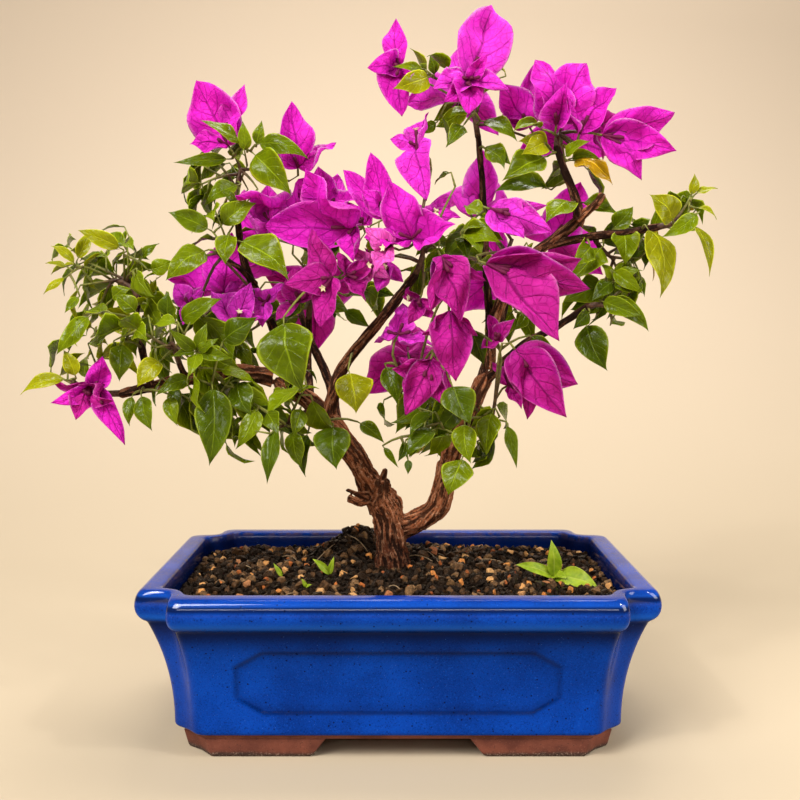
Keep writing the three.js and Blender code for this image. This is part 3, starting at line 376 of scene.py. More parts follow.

# The glaze pools along the panels, and painted shade darkens their edges with it. Painted shade also
# darkens the cove under the bead, with pooling there, and the lining. A painted dark reflection runs in
# a line on the bead, and a painted sheen lightens its lip and its low roll. The glaze is rubbed off the
# inner edge, and shines on the bead.
roll_row = wall_rows + 6
dark_reflection_row = wall_rows + 14.5
crest_row = wall_rows + 16.2
# darker along the edges of the panels, more so low on the wall: pooling glaze and painted shade
pool = 0.45 * near(edge, 0.4, 1.1) + 0.15 * near(edge, 2.5, 2.5)
pool *= 1 + 0.9 * smooth_step(z, 32, 25)
# painted shade under the bead, with the glaze pooling in the cove
below, above = np.minimum(z - COVE_HEIGHT, 0), np.maximum(z - COVE_HEIGHT, 0)
cove_pool_and_shade = np.exp(-((below / COVE_BELOW) ** 2) - (above / COVE_ABOVE) ** 2) * (row_number < wall_rows + 10)
# painted shade: the lining inside the rim is darkened to deep navy
lining_shade = smooth_step(row_number, lip_row, lip_row + 2)
# adds a painted dark reflection in a thin line on the bead, and the lining's painted shade
pool = np.clip(pool + cove_pool_and_shade + 1.2 * near(row_number, dark_reflection_row, 0.75, 4) + lining_shade, 0, 1)
all_round = np.ones_like(pool)
inner_edge = near(row_number, lip_row, 1.2) * all_round
# painted sheen: lighter blue on the lip and on the low roll of the bead
crest = (0.4 * near(row_number, crest_row, 0.8) + near(row_number, roll_row, 2.4)) * all_round
gloss = smooth_step(row_number, dark_reflection_row - 2.5, dark_reflection_row) * all_round
gloss *= 1 - 0.8 * smooth_step(row_number, crest_row + 0.8, crest_row + 3.8)
cant = np.minimum(POT_WIDTH / 2 - insets - np.abs(x), POT_DEPTH / 2 - insets - np.abs(y))
gloss = np.maximum(gloss, 0.09 * smooth_step(cant, 0.05, 1.5) * on_wall)
count = rings.shape[1]
points = [*rings.reshape(-1, 3), (0, 0, POT_FOOT), (0, 0, FLOOR_TOP)]
last = (len(rows) - 1) * count
faces = ring_faces(len(rows), count)
faces += cap_faces(0, count, len(points) - 2, False) + cap_faces(last, count, len(points) - 1, True)
stored = {"pool": pool, "inner_edge": inner_edge, "crest": crest, "gloss": gloss}
stored = {key: [*value.ravel(), 0, 0] for key, value in stored.items()}

glaze, place = surface("cobalt_glaze", {
    "Roughness": 0.12, "Specular IOR Level": 0.05, "Coat Roughness": 0.04,
})
cloud = place.noise(38, 3)
fleck = place.noise(1300, 3, 0.65)
pit = place.cells(310).step(0.19, 0.09) * place.noise(120, 1).step(0.44, 0.56)
spark = place.cells(760).step(0.10, 0.05) * place.noise(330, 1).step(0.55, 0.62)
colour = cloud.step(0.3, 0.7).tint((0.0012, 0.028, 0.22), (0.002, 0.046, 0.34))
colour = (fleck.step(0.55, 0.75) * 0.5).tint(colour, (0.006, 0.095, 0.54))
colour = (fleck.step(0.47, 0.30) * 0.65).tint(colour, (0.0005, 0.008, 0.08))
# painted shade and a painted dark reflection, with the glaze's own pooling, darken the blue
colour = (place.stored("pool") * 0.9).tint(colour, (0.0005, 0.005, 0.04))
# the painted sheen lightens the lip and the low roll of the bead
colour = (place.stored("crest") * 0.6).tint(colour, (0.010, 0.11, 0.55))
colour = (spark * 0.6).tint(colour, (0.16, 0.34, 0.80))
colour = (pit * 0.85).tint(colour, (0.001, 0.003, 0.02))
rubbed = place.stored("inner_edge") * place.noise(190, 3).step(0.36, 0.6)
(rubbed * 0.8).tint(colour, (0.10, 0.055, 0.035)).into("Base Color")
(fleck * 0.5 - pit * 1.6 + cloud * 2).bump(0.16, 0.0006).into("Normal")
(place.stored("gloss") * 0.9).into("Coat Weight")
piece("glazed_pot", mesh_of("glazed_pot", points, faces, stored), glaze, ["pot_body"])

# The soil: a bed of fine dark bark mould that rises to the trunk, heaped behind it, with grains of
# baked clay and pumice strewn all over. It fills the pot to just under the rim.
GAP = 0.3  # air between pieces
GROUND = 78.4
SOIL_AT_WALL = 71
SOIL_INSET = wall_inset(SOIL_AT_WALL) + WALL_THICK + GAP
MOUND_X, MOUND_Y, MOUND_HEIGHT, MOUND_SPREAD = -25, 36, 12, 21
CLOD_SPACING, CLOD_PUSH, CLOD_HEIGHT, CLOD_SPREAD = 22, 8, 4, 8
CLOD_SEED, GRAIN_SEED, GRAIN_KINDS = 40, 5, 8
TRUNK_X, TRUNK_Y = -3, 0
RISE_SPREAD = 62
TRUNK_CLEAR, TRUNK_FREE = 10, 30  # no clods this near, and all of them this far off
WALL_CLEAR = 10
SOIL_STEPS = (70, 44, 4, 3)  # parts as for the pot
FLOOR_GAP = 0.4
BED_SUNK = 0.6  # the bed lies under its grains
FULL_TURN = 6.283


def seeded(seed):
    """A seeded row of numbers from 0 to 1, as the solids use."""
    state = seed
    while True:
        state = (state + 0x6D2B79F5) & 0xFFFFFFFF
        t = ((state ^ (state >> 15)) * (state | 1)) & 0xFFFFFFFF
        t ^= (t + ((t ^ (t >> 7)) * (t | 61))) & 0xFFFFFFFF
        yield (t ^ (t >> 14)) / 4294967296


draw = seeded(CLOD_SEED)
clods = []
for column in range(10):
    for row in range(6):
        x = (column - 4.5) * CLOD_SPACING + (2 * next(draw) - 1) * CLOD_PUSH
        y = (row - 2.5) * CLOD_SPACING + (2 * next(draw) - 1) * CLOD_PUSH
        clods.append((x, y, CLOD_HEIGHT * (0.4 + 0.6 * next(draw))))


def soil_height(x, y):
    """How high the top of the soil is at a place."""
    from_trunk = np.hypot(x - TRUNK_X, y - TRUNK_Y)
    rise = (GROUND - SOIL_AT_WALL) * near(from_trunk, 0, RISE_SPREAD)
    away = np.hypot(x - MOUND_X, y - MOUND_Y) / MOUND_SPREAD
    edge = np.minimum(POT_WIDTH / 2 - SOIL_INSET - np.abs(x), POT_DEPTH / 2 - SOIL_INSET - np.abs(y))
    lumps = sum(h * np.exp(-((x - a) ** 2 + (y - b) ** 2) / CLOD_SPREAD**2) for a, b, h in clods)
    heaped = MOUND_HEIGHT * np.exp(-(away**2)) + lumps * smooth_step(edge, 0, WALL_CLEAR)
    return SOIL_AT_WALL + rise + smooth_step(from_trunk, TRUNK_CLEAR, TRUNK_FREE) * heaped


def soil_rings(inner_radius, shares, sunk):
    """Rings on the soil from its wall in to a circle round the trunk."""
    wall = notched_ring(SOIL_INSET, SOIL_AT_WALL, LINING_ROUND, *SOIL_STEPS)
    angle = np.arctan2(wall[:, 1] - TRUNK_Y, wall[:, 0] - TRUNK_X)
    hub = np.column_stack([np.cos(angle), np.sin(angle)]) * inner_radius + (TRUNK_X, TRUNK_Y)
    made = []
    for share in shares:
        flat = wall[:, :2] * share + hub * (1 - share)
        rough = [0.7 * noise.noise(Vector((a * 0.35, b * 0.35, 0))) for a, b in flat.tolist()]
        level = soil_height(flat[:, 0], flat[:, 1]) - sunk + np.array(rough) * (0 < share < 1)
        made.append(np.column_stack([flat, level]))
    return np.array(made)


top = soil_rings(2.0, np.linspace(1, 0, 46), BED_SUNK)
count = top.shape[1]
walls = [notched_ring(wall_inset(z) + WALL_THICK + GAP, z, LINING_ROUND, *SOIL_STEPS)
         for z in (FLOOR_TOP + FLOOR_GAP, 38, 56)]
rings = np.concatenate([walls, top])
points = [*rings.reshape(-1, 3), (0, 0, FLOOR_TOP + FLOOR_GAP), (TRUNK_X, TRUNK_Y, GROUND - BED_SUNK)]
last = (len(rings) - 1) * count
faces = ring_faces(len(rings), count)
faces += cap_faces(0, count, len(points) - 2, False) + cap_faces(last, count, len(points) - 1, True)

mould, place = surface("dark_mould", {"Roughness": 0.95, "Specular IOR Level": 0.05})
crumb = place.noise(420, 5, 0.7)
colour = crumb.step(0.35, 0.7).tint((0.006, 0.004, 0.003), (0.045, 0.027, 0.016))
(place.cells(300).step(0.3, 0.1) * 0.6).tint(colour, (0.085, 0.05, 0.028)).into("Base Color")
(crumb + place.cells(330) * 0.8).bump(1.0, 0.0016).into("Normal")
piece("soil_bed", mesh_of("soil_bed", points, faces), mould, ["soil"])


def grain_shapes(name, seed, kinds):
    """A few angular lumps of about unit size, each the hull of scattered points, in a collection."""
    draw = np.random.default_rng(seed)
    collection = bpy.data.collections.new(name)
    for kind in range(kinds):
        spread = draw.normal(size=(19, 3))
        spread /= np.linalg.norm(spread, axis=1)[:, None]
        reach = draw.uniform(0.42, 0.5, (19, 1))
        spread *= reach * np.array([1, draw.uniform(0.6, 1), draw.uniform(0.45, 0.85)])
        work = bmesh.new()
        for p in spread.tolist():
            work.verts.new(p)
        hull = bmesh.ops.convex_hull(work, input=work.verts)
        bmesh.ops.delete(work, geom=list(set(hull["geom_interior"])), context="VERTS")
        mesh = bpy.data.meshes.new(f"{name}_{kind}")
        work.to_mesh(mesh)
        work.free()
        collection.objects.link(bpy.data.objects.new(mesh.name, mesh))
    return collection


def strewn(name, ground, shapes, material, inputs):
    """A mesh of lumps that Geometry Nodes strew over a ground at a spacing, in sizes between two."""
    tree = bpy.data.node_groups.new(name, "GeometryNodeTree")
    tree.interface.new_socket("Ground", in_out="INPUT", socket_type="NodeSocketGeometry")
    sockets = {
        key: tree.interface.new_socket(
            key, in_out="INPUT", socket_type="NodeSocketInt" if key == "Seed" else "NodeSocketFloat"
        ).identifier
        for key in inputs
    }
    tree.interface.new_socket("Grains", in_out="OUTPUT", socket_type="NodeSocketGeometry")

    def node(kind, settings, links):
        made = tree.nodes.new(kind)
        for key, value in settings.items():
            setattr(made, key, value)
        for key, value in links.items():
            if isinstance(value, bpy.types.NodeSocket):
                tree.links.new(value, made.inputs[key])
            else:
                made.inputs[key].default_value = value
        return made

    given = node("NodeGroupInput", {}, {}).outputs
    dots = node("GeometryNodeDistributePointsOnFaces", {"distribute_method": "POISSON"}, {
        "Mesh": given["Ground"], "Distance Min": given["Spacing"], "Density Max": given["Density"],
        "Seed": given["Seed"],
    })
    lumps = node("GeometryNodeCollectionInfo", {}, {
        "Collection": shapes, "Separate Children": True, "Reset Children": True,
    })
    turn = node("FunctionNodeRandomValue", {"data_type": "FLOAT_VECTOR"}, {
        0: (0, 0, 0), 1: (FULL_TURN, FULL_TURN, FULL_TURN), "Seed": given["Seed"],
    })
    size = node("FunctionNodeRandomValue", {"data_type": "FLOAT"}, {
        2: given["Smallest"], 3: given["Largest"], "Seed": given["Seed"],
    })
    grains = node("GeometryNodeInstanceOnPoints", {}, {
        "Points": dots.outputs["Points"], "Instance": lumps.outputs[0], "Pick Instance": True,
        "Rotation": turn.outputs[0], "Scale": size.outputs[1],
    })
    tone = node("FunctionNodeRandomValue", {"data_type": "FLOAT"}, {"Seed": given["Seed"]})
    toned = node("GeometryNodeStoreNamedAttribute", {"data_type": "FLOAT", "domain": "INSTANCE"}, {
        "Geometry": grains.outputs[0], "Name": "tone", "Value": tone.outputs[1],
    })
    real = node("GeometryNodeRealizeInstances", {}, {"Geometry": toned.outputs[0]})
    dressed = node("GeometryNodeSetMaterial", {}, {"Geometry": real.outputs[0], "Material": material})
    node("NodeGroupOutput", {}, {"Grains": dressed.outputs[0]})

    holder = bpy.data.objects.new(name, ground)
    bpy.context.scene.collection.objects.link(holder)
    grower = holder.modifiers.new(name, "NODES")
    grower.node_group = tree
    for key, value in inputs.items():
        grower[sockets[key]] = value
    mesh = bpy.data.meshes.new_from_object(holder.evaluated_get(bpy.context.evaluated_depsgraph_get()))
    holder.modifiers.remove(grower)
    bpy.data.objects.remove(holder)
    mesh.name = name
    return mesh


def scattered(name, material, inputs, hub, rim, sunk):
    """Strews lumps over the soil, from near its wall in to a ring round the trunk, as one piece."""
    rings = soil_rings(hub, np.linspace(rim, 0, 40), sunk)
    ground = mesh_of(name + "_ground", rings.reshape(-1, 3), ring_faces(len(rings), rings.shape[1]))
    piece(name, strewn(name, ground, lumps, material, inputs), material)


def grain_skin(name, constants, pitch, stops, hollow_from, hollow_share, hollow_tone, relief):
    """A material for strewn grains, each of its own tone, darker in its hollows."""
    material, place = surface(name, constants)
    each = place.stored("tone")
    shade = place.noise(pitch, 4, 0.65)
    colour = each.add("ShaderNodeValToRGB", {"stops": stops}, {"Fac": each})
    (shade.step(0.6, hollow_from) * hollow_share).tint(colour, hollow_tone).into("Base Color")
    shade.bump(relief, 0.0008).into("Normal")
    return material


dark_grain = grain_skin(
    "dark_grain",
    {"Roughness": 0.28, "Specular IOR Level": 0.1, "Specular Tint": (1.0, 0.8, 0.6, 1)}, 650,
    [(0.0, (0.003, 0.002, 0.001)), (0.5, (0.007, 0.004, 0.003)), (0.78, (0.019, 0.010, 0.005)),
     (0.92, (0.085, 0.040, 0.017)), (1.0, (0.26, 0.14, 0.060))],
    hollow_from=0.34, hollow_share=0.75, hollow_tone=(0.005, 0.003, 0.002), relief=0.9,
)
baked_grain = grain_skin(
    "baked_grain", {"Roughness": 0.7, "Specular IOR Level": 0.15}, 800,
    [(0.0, (0.17, 0.040, 0.014)), (0.3, (0.48, 0.135, 0.028)), (0.62, (0.64, 0.26, 0.06)),
     (0.88, (0.62, 0.34, 0.13)), (1.0, (0.30, 0.08, 0.03))],
    hollow_from=0.3, hollow_share=0.6, hollow_tone=(0.09, 0.035, 0.016), relief=0.8,
)
lumps = grain_shapes("grain_shape", GRAIN_SEED, GRAIN_KINDS)
scattered("soil_grains", dark_grain, {
    "Spacing": 0.0029, "Density": 380000.0, "Smallest": 0.0030, "Largest": 0.0066, "Seed": 7,
}, hub=11.5, rim=0.985, sunk=0.2)
scattered("soil_pebbles", baked_grain, {
    "Spacing": 0.0085, "Density": 9000.0, "Smallest": 0.0032, "Largest": 0.0066, "Seed": 12,
}, hub=14.0, rim=0.97, sunk=-0.8)
scattered("soil_clods", dark_grain, {
    "Spacing": 0.008, "Density": 16000.0, "Smallest": 0.0050, "Largest": 0.0098, "Seed": 31,
}, hub=16.0, rim=0.95, sunk=-0.2)
for shape in list(lumps.objects):
    bpy.data.objects.remove(shape)
bpy.data.collections.remove(lumps)

# The trunk, a few stems grown together, and its boughs, cut back and regrown for years. The bark is
# dry, fissured and fibrous, reddish brown with paler ridges, and darker on the thin limbs.
LIMBS = {
    "left_bough": ((14.5, 8.5), [(-8, 2, 108), (-17, 2, 126), (-25, 0, 140), (-34, -2, 153),
                                 (-46, -3, 166), (-66, -2, 179)]),
    "left_arm": ((9.5, 5), [(-67, -2, 180), (-85, -4, 183), (-102, -8, 181), (-133, -16, 175),
                            (-146, -18, 172)]),
    "left_riser": ((4.6, 3.2), [(-129, -15, 176), (-134, -12, 194), (-138, -8, 211), (-137, -5, 224)]),
    "left_rear_spur": ((5, 3.2), [(-98, -7, 182), (-100, 10, 192), (-105, 22, 202)]),
    "left_front_spur": ((4.2, 3), [(-112, -10, 180), (-112, -21, 186), (-112, -28, 190)]),
    "left_under_spur": ((4, 3), [(-88, -4, 182), (-90, -16, 176), (-94, -23, 170)]),
    "left_foot_spur": ((4.4, 3), [(-42, -3, 162), (-49, -18, 162), (-55, -27, 158)]),
    "left_upper_bough": ((6, 3.6), [(-57, -3, 174), (-66, 4, 203), (-83, 8, 242), (-87, 8, 270)]),
    "left_whorl_spur": ((3.6, 2.8), [(-77, 7, 230), (-84, -4, 238), (-91, -10, 243)]),
    "centre_bough": ((7.5, 4.6), [(-38, -2, 158), (-30, -8, 184), (-8, -16, 212), (10, -23, 235)]),
    "centre_left_spur": ((5.5, 3.4), [(-47, -3, 167), (-49, 8, 190), (-48, 6, 214)]),
    "back_left_bough": ((6.5, 3.8), [(-33, -1, 152), (-38, 24, 174), (-50, 46, 198), (-57, 56, 214)]),
    "right_bough": ((10.5, 6.4), [(-2, 1, 97), (12, 0, 103), (21, -1, 110), (25, 0, 124),
                                  (29, 2, 139), (48, 5, 182)]),
    "right_low_spur": ((4.2, 3), [(36, 3, 154), (42, -10, 158), (46, -20, 157)]),
    "centre_low_spur": ((4.2, 3), [(41, 4, 164), (30, -6, 172), (21, -12, 174)]),
    "back_low_bough": ((5, 3.4), [(31, 2, 143), (24, 22, 158), (12, 40, 168)]),
    "right_low_limb": ((5.4, 3.6), [(46, 5, 176), (65, -2, 196), (85, -8, 208), (101, -12, 219)]),
    "back_right_bough": ((6, 3.8), [(44, 5, 171), (50, 26, 190), (60, 46, 212), (64, 56, 226)]),
    "right_limb": ((7, 6), [(48.5, 5, 184), (52, 6, 210), (66, 5, 240), (84, 2, 254), (96, 0, 264)]),
    "top_stem": ((4.8, 3.4), [(50, 6, 203), (48, 12, 238), (46, 14, 281), (43, 14, 312)]),
    "right_centre_spur": ((4, 3), [(56, 6, 222), (54, -10, 232), (54, -20, 238)]),
    "right_top_limb": ((5.6, 4), [(96.5, 0, 264.5), (94, 1, 276), (88, 2, 291), (84, 4, 304)]),
    "right_tip_limb": ((5.4, 3.6), [(80, 3, 251), (104, -2, 255), (122, -4, 257), (139, -6, 260)]),
    "right_mid_spur": ((3.4, 2.6), [(104, -1, 255), (108, 10, 252), (112, 16, 249)]),
}
TRUNK = ((19.5, 17, 17.2, 18, 12), [(-3, 0, GROUND - 1.5), (-4, 0, 92), (-5, 1, 104), (-9, 2, 115),
                                    (-11, 1, 122)])
STUBS = [
    ((7, 3.8), [(-10, -1, 116), (-20, -4, 113.5), (-27, -6, 116)]),
    ((11, 8), [(-9, 0, 112), (-8.5, -2, 120), (-8.5, -2.5, 126)]),
    ((5.4, 4), [(95, 0, 263), (103, -2, 271), (109, -3, 277)]),
    ((4.4, 2.2), [(-16, -4, 116), (-23, -6, 118), (-28, -7, 120)]),
    ((3.8, 2.8), [(-8.5, -3, 123), (-7.5, -3.5, 128), (-6.5, -4, 131.5)]),
]
STOUT_LIMBS = {"left_bough": 0.5, "left_arm": 0.55, "right_bough": 0.5, "right_limb": 0.4}
# how shaggy the bark is, for the stout limbs above and the rest
TRUNK_SHAGGY, SLENDER_SHAGGY, STUB_SHAGGY = 0.6, 0.26, 0.9
RIGHT_BOUGH_BARK = 2.4
TRUNK_SEED, LIMB_SEED, STUB_SEED = 3.0, 11.0, 201.0
RING_STEP, POINT_STEP = 0.7, 0.5
PLATES, STRANDS = (0.42, 0.045), (0.95, 0.075)  # how close they lie, across and along
FIBRES, LUMPS = (2.1, 0.16), (0.9, 0.10)
DRIFT_PITCH, DRIFT, SWIRL = 0.05, 0.5, 0.010  # the fibres wind round the wood
BARK_VOXEL = 0.0005
UP = np.array([0.0, 0.0, 1.0])


def unit(way):
    return way / np.linalg.norm(way)


def square_to(wish, way):
    """A direction square to another, as close as it can be to a wish."""
    return unit(wish - way * wish.dot(way))


def sideways(heading):
    """A direction to measure from that isn't near a heading."""
    return np.array([1.0, 0.0, 0.0]) if abs(heading[2]) > 0.9 else UP


class Line:
    """A smooth line, kept as close points with the length up to each."""

    def __init__(self, points):
        self.points = np.asarray(points)
        steps = np.linalg.norm(np.diff(self.points, axis=0), axis=1)
        self.lengths = np.concatenate([[0], np.cumsum(steps)])
        self.length = self.lengths[-1]

    def at(self, share):
        where = share * self.length
        return np.array([np.interp(where, self.lengths, self.points[:, k]) for k in range(3)])

    def heading(self, share):
        return unit(self.at(min(share + 0.006, 1)) - self.at(max(share - 0.006, 0)))


def line_through(places):
    """The centripetal spline through some places."""
    p = np.asarray(places, float)
    p = np.vstack([2 * p[0] - p[1], p, 2 * p[-1] - p[-2]])
    made = []
    for k in range(1, len(p) - 2):
        a, b, c = (math.sqrt(np.linalg.norm(p[k + i] - p[k + i - 1])) for i in range(3))
        out = b * ((p[k] - p[k - 1]) / a - (p[k + 1] - p[k - 1]) / (a + b) + (p[k + 1] - p[k]) / b)
        back = b * ((p[k + 1] - p[k]) / b - (p[k + 2] - p[k]) / (b + c) + (p[k + 2] - p[k + 1]) / c)
        t = np.linspace(0, 1, 40, endpoint=False)[:, None]
        bend = -3 * p[k] + 3 * p[k + 1] - 2 * out - back
        made.append(p[k] + out * t + bend * t**2 + (2 * p[k] - 2 * p[k + 1] + out + back) * t**3)
    return Line(np.vstack([*made, p[-2:-1]]))


def rings_along(line, shares, radii, sides):
    """Rings along a line, with a radius for each ring or for each point of each ring."""
    heading = line.heading(0)
    normal = square_to(sideways(heading), heading)
    angle = np.linspace(0, 2 * math.pi, sides, endpoint=False)[:, None]
    made = []
    for share, radius in zip(shares, radii):
        heading = line.heading(share)
        normal = square_to(normal, heading)
        across = np.cross(heading, normal)
        spoke = np.cos(angle) * normal + np.sin(angle) * across
        made.append(line.at(share) + spoke * np.reshape(radius, (-1, 1)))
    return np.array(made)


class Heap:
    """Points, faces and stored values of many small shapes, to be joined into one mesh."""

    def __init__(self):
        self.points = []
        self.faces = []
        self.values = {}

    def add(self, points, faces, **values):
        start = len(self.points)
        self.points += [tuple(p) for p in points]
        self.faces += [[start + k for k in face] for face in faces]
        for key, value in values.items():
            self.values.setdefault(key, []).extend(value)

    def add_tube(self, rings, **values):
        rows, sides = rings.shape[:2]
        last = (rows - 1) * sides
        ends = [list(range(sides))[::-1], [last + k for k in range(sides)]]
        repeated = {key: np.repeat(value, sides, axis=0).tolist() for key, value in values.items()}
        self.add(rings.reshape(-1, 3), ring_faces(rows, sides) + ends, **repeated)

    def mesh(self, name, smooth=True):
        return mesh_of(name, self.points, self.faces, self.values, smooth)


def bark_tube(heap, line, diameters, seed, shaggy, collar, blunt, weathered=0.0):
    """Adds a limb with fissures along it, a collar at its foot and a rounded or cut end."""
    length = line.length
    shares = np.linspace(0, 1, max(8, int(length / RING_STEP)))
    girth = np.interp(shares, np.linspace(0, 1, len(diameters)), diameters) / 2
    sides = int(np.clip(2 * math.pi * girth.max() / POINT_STEP, 18, 120))
    angle = np.linspace(0, 2 * math.pi, sides, endpoint=False)
    radii, hollows, strands = [], [], []
    for share, radius in zip(shares, girth):
        along = share * length
        swell = 1 + collar * math.exp(-along / (1.3 * radius))
        end = min(1.0, max(0.12, (length - along) / (blunt * radius))) ** 0.5
        ring, deep = [], []
        for a in angle:
            drift = noise.noise(Vector((math.cos(a), math.sin(a) + seed, along * DRIFT_PITCH))) * DRIFT
            swirl = a + along * SWIRL + drift
            c, s = math.cos(swirl) * radius, math.sin(swirl) * radius
            plate = noise.noise(Vector((c * PLATES[0] + seed, s * PLATES[0], along * PLATES[1])))
            strand = noise.noise(Vector((c * STRANDS[0], s * STRANDS[0] + seed, along * STRANDS[1])))
            fine = noise.noise(Vector((c * FIBRES[0], s * FIBRES[0] + seed, along * FIBRES[1])))
            x, y = math.cos(a) * LUMPS[0], math.sin(a) * LUMPS[0] + seed
            lump = noise.noise(Vector((x, y, along * LUMPS[1])))
            hollow = max(0.0, 1 - abs(plate) * 5) + 0.7 * max(0.0, 1 - abs(strand) * 4)
            hollow = min(1.0, hollow + 0.3 * max(0.0, 1 - abs(fine) * 4))
            deep.append(hollow)
            strands.append((c + seed, s, along * 0.1))
            relief = shaggy * radius**0.5 * (0.5 * strand + 0.35 * fine + 0.25 - hollow)
            ring.append(end * (radius * swell * (1 + (0.1 + 0.1 * shaggy) * lump) + relief))
        radii.append(ring)
        hollows.append(deep)
    heap.add_tube(rings_along(line, shares, np.array(radii), sides))
    heap.values.setdefault("hollow", []).extend(np.array(hollows).ravel().tolist())
    heap.values.setdefault("girth", []).extend(np.repeat(girth + weathered, sides).tolist())
    heap.values.setdefault("strand", []).extend(strands)


limb_lines = {name: line_through(places) for name, (_, places) in LIMBS.items()}
stout_wood = Heap()
slender_wood = Heap()
trunk_line = line_through(TRUNK[1])
bark_tube(stout_wood, trunk_line, TRUNK[0], TRUNK_SEED, TRUNK_SHAGGY, collar=0.0, blunt=0.6)
for k, (name, line) in enumerate(limb_lines.items()):
    girths = np.array(LIMBS[name][0]) + (RIGHT_BOUGH_BARK if name == "right_bough" else 0)
    wood = stout_wood if name in STOUT_LIMBS else slender_wood
    shaggy = STOUT_LIMBS.get(name, SLENDER_SHAGGY)
    bark_tube(wood, line, girths, LIMB_SEED + 7 * k, shaggy, collar=0.15, blunt=0.8)
for k, (girths, places) in enumerate(STUBS):
    line = line_through(places)
    bark_tube(stout_wood, line, girths, STUB_SEED + k, STUB_SHAGGY, collar=0.5, blunt=0.25, weathered=1.6)


def grown_together(name, wood):
    """The tubes of a heap fused into one skin, which keeps the values that they were given."""
    raw = bpy.data.objects.new(name, wood.mesh("raw_" + name))
    bpy.context.scene.collection.objects.link(raw)
    fuse = raw.modifiers.new("fuse", "REMESH")
    fuse.mode = "VOXEL"
    fuse.voxel_size = BARK_VOXEL
    mesh = bpy.data.meshes.new_from_object(raw.evaluated_get(bpy.context.evaluated_depsgraph_get()))
    bpy.data.objects.remove(raw)
    mesh.name = name
    nearest = kdtree.KDTree(len(wood.points))
    for k, p in enumerate(in_frame(wood.points).tolist()):
        nearest.insert(p, k)
    nearest.balance()
    found = [nearest.find(vertex.co)[1] for vertex in mesh.vertices]
    store(mesh, {key: np.array(value)[found] for key, value in wood.values.items()})
    mesh.polygons.foreach_set("use_smooth", [True] * len(mesh.polygons))
    return mesh


bark, place = surface("fissured_bark", {"Roughness": 0.85, "Specular IOR Level": 0.1})
fibre = place.noise(620, 5, 0.7)
patch = place.noise(85, 3, 0.6)
strand = place.stored("strand", "Vector").noise(1.2, 5, 0.7)
colour = patch.step(0.3, 0.7).tint((0.085, 0.018, 0.006), (0.20, 0.052, 0.019))
stout = place.stored("girth").step(1.9, 4.2)
high = place.axis("Z").step(0.090, 0.110)
dry = high * stout
colour = (dry * 0.45).tint(colour, (0.58, 0.19, 0.075))
colour = (strand.step(0.50, 0.62) * 0.85).tint(colour, (0.62, 0.28, 0.14))
colour = (fibre.step(0.52, 0.70) * 0.55).tint(colour, (0.85, 0.52, 0.32))
colour = (strand.step(0.47, 0.33) * 0.85).tint(colour, (0.026, 0.008, 0.004))
colour = ((1 - high) * 0.5).tint(colour, (0.03, 0.010, 0.005))
colour = ((1 - stout) * 0.7).tint(colour, (0.032, 0.013, 0.008))
fissure = place.stored("hollow").step(0.15, 0.75) * (0.95 - dry * 0.1)
fissure.tint(colour, (0.012, 0.004, 0.002)).into("Base Color")
(strand * 1.5 + fibre * 0.6).bump(0.9, 0.0012).into("Normal")
slender_limbs = [name for name in LIMBS if name not in STOUT_LIMBS]
piece("trunk_bark", grown_together("trunk_bark", stout_wood), bark, ["trunk", *STOUT_LIMBS])
piece("limb_bark", grown_together("limb_bark", slender_wood), bark, slender_limbs)

# The shoots: from the end of each limb a stem runs into its mass of foliage, and throws off leafy
# twigs, finer side twigs and the stalks of the blooms. Older wood is brown, and new growth green.
BLOOM_NECK = 4
GOLDEN_ANGLE = math.pi * (3 - math.sqrt(5))
CROWN_MIDDLE = np.array([0.0, 0.0, 215.0])
VIEWER = np.array([0.0, -1.0, 0.0])
VIEW_DISTANCE, VIEW_HEIGHT = 577, 211
LEAF_CLEAR, SIGHT_CLEAR = 2.2, 4.5
ROOM_CELL = 6.0
TWIG_SEED, SPRIG_SEED, FAR_BLOOM_SEED, FRONT_LEAF_SEED = 101, 1101, 77, 303
SPRIG_PLACES = (0.45, 0.72, 0.97)  # along a twig
SPRIG_LEAVES = (0.5, 0.85, 1.0)  # along a sprig
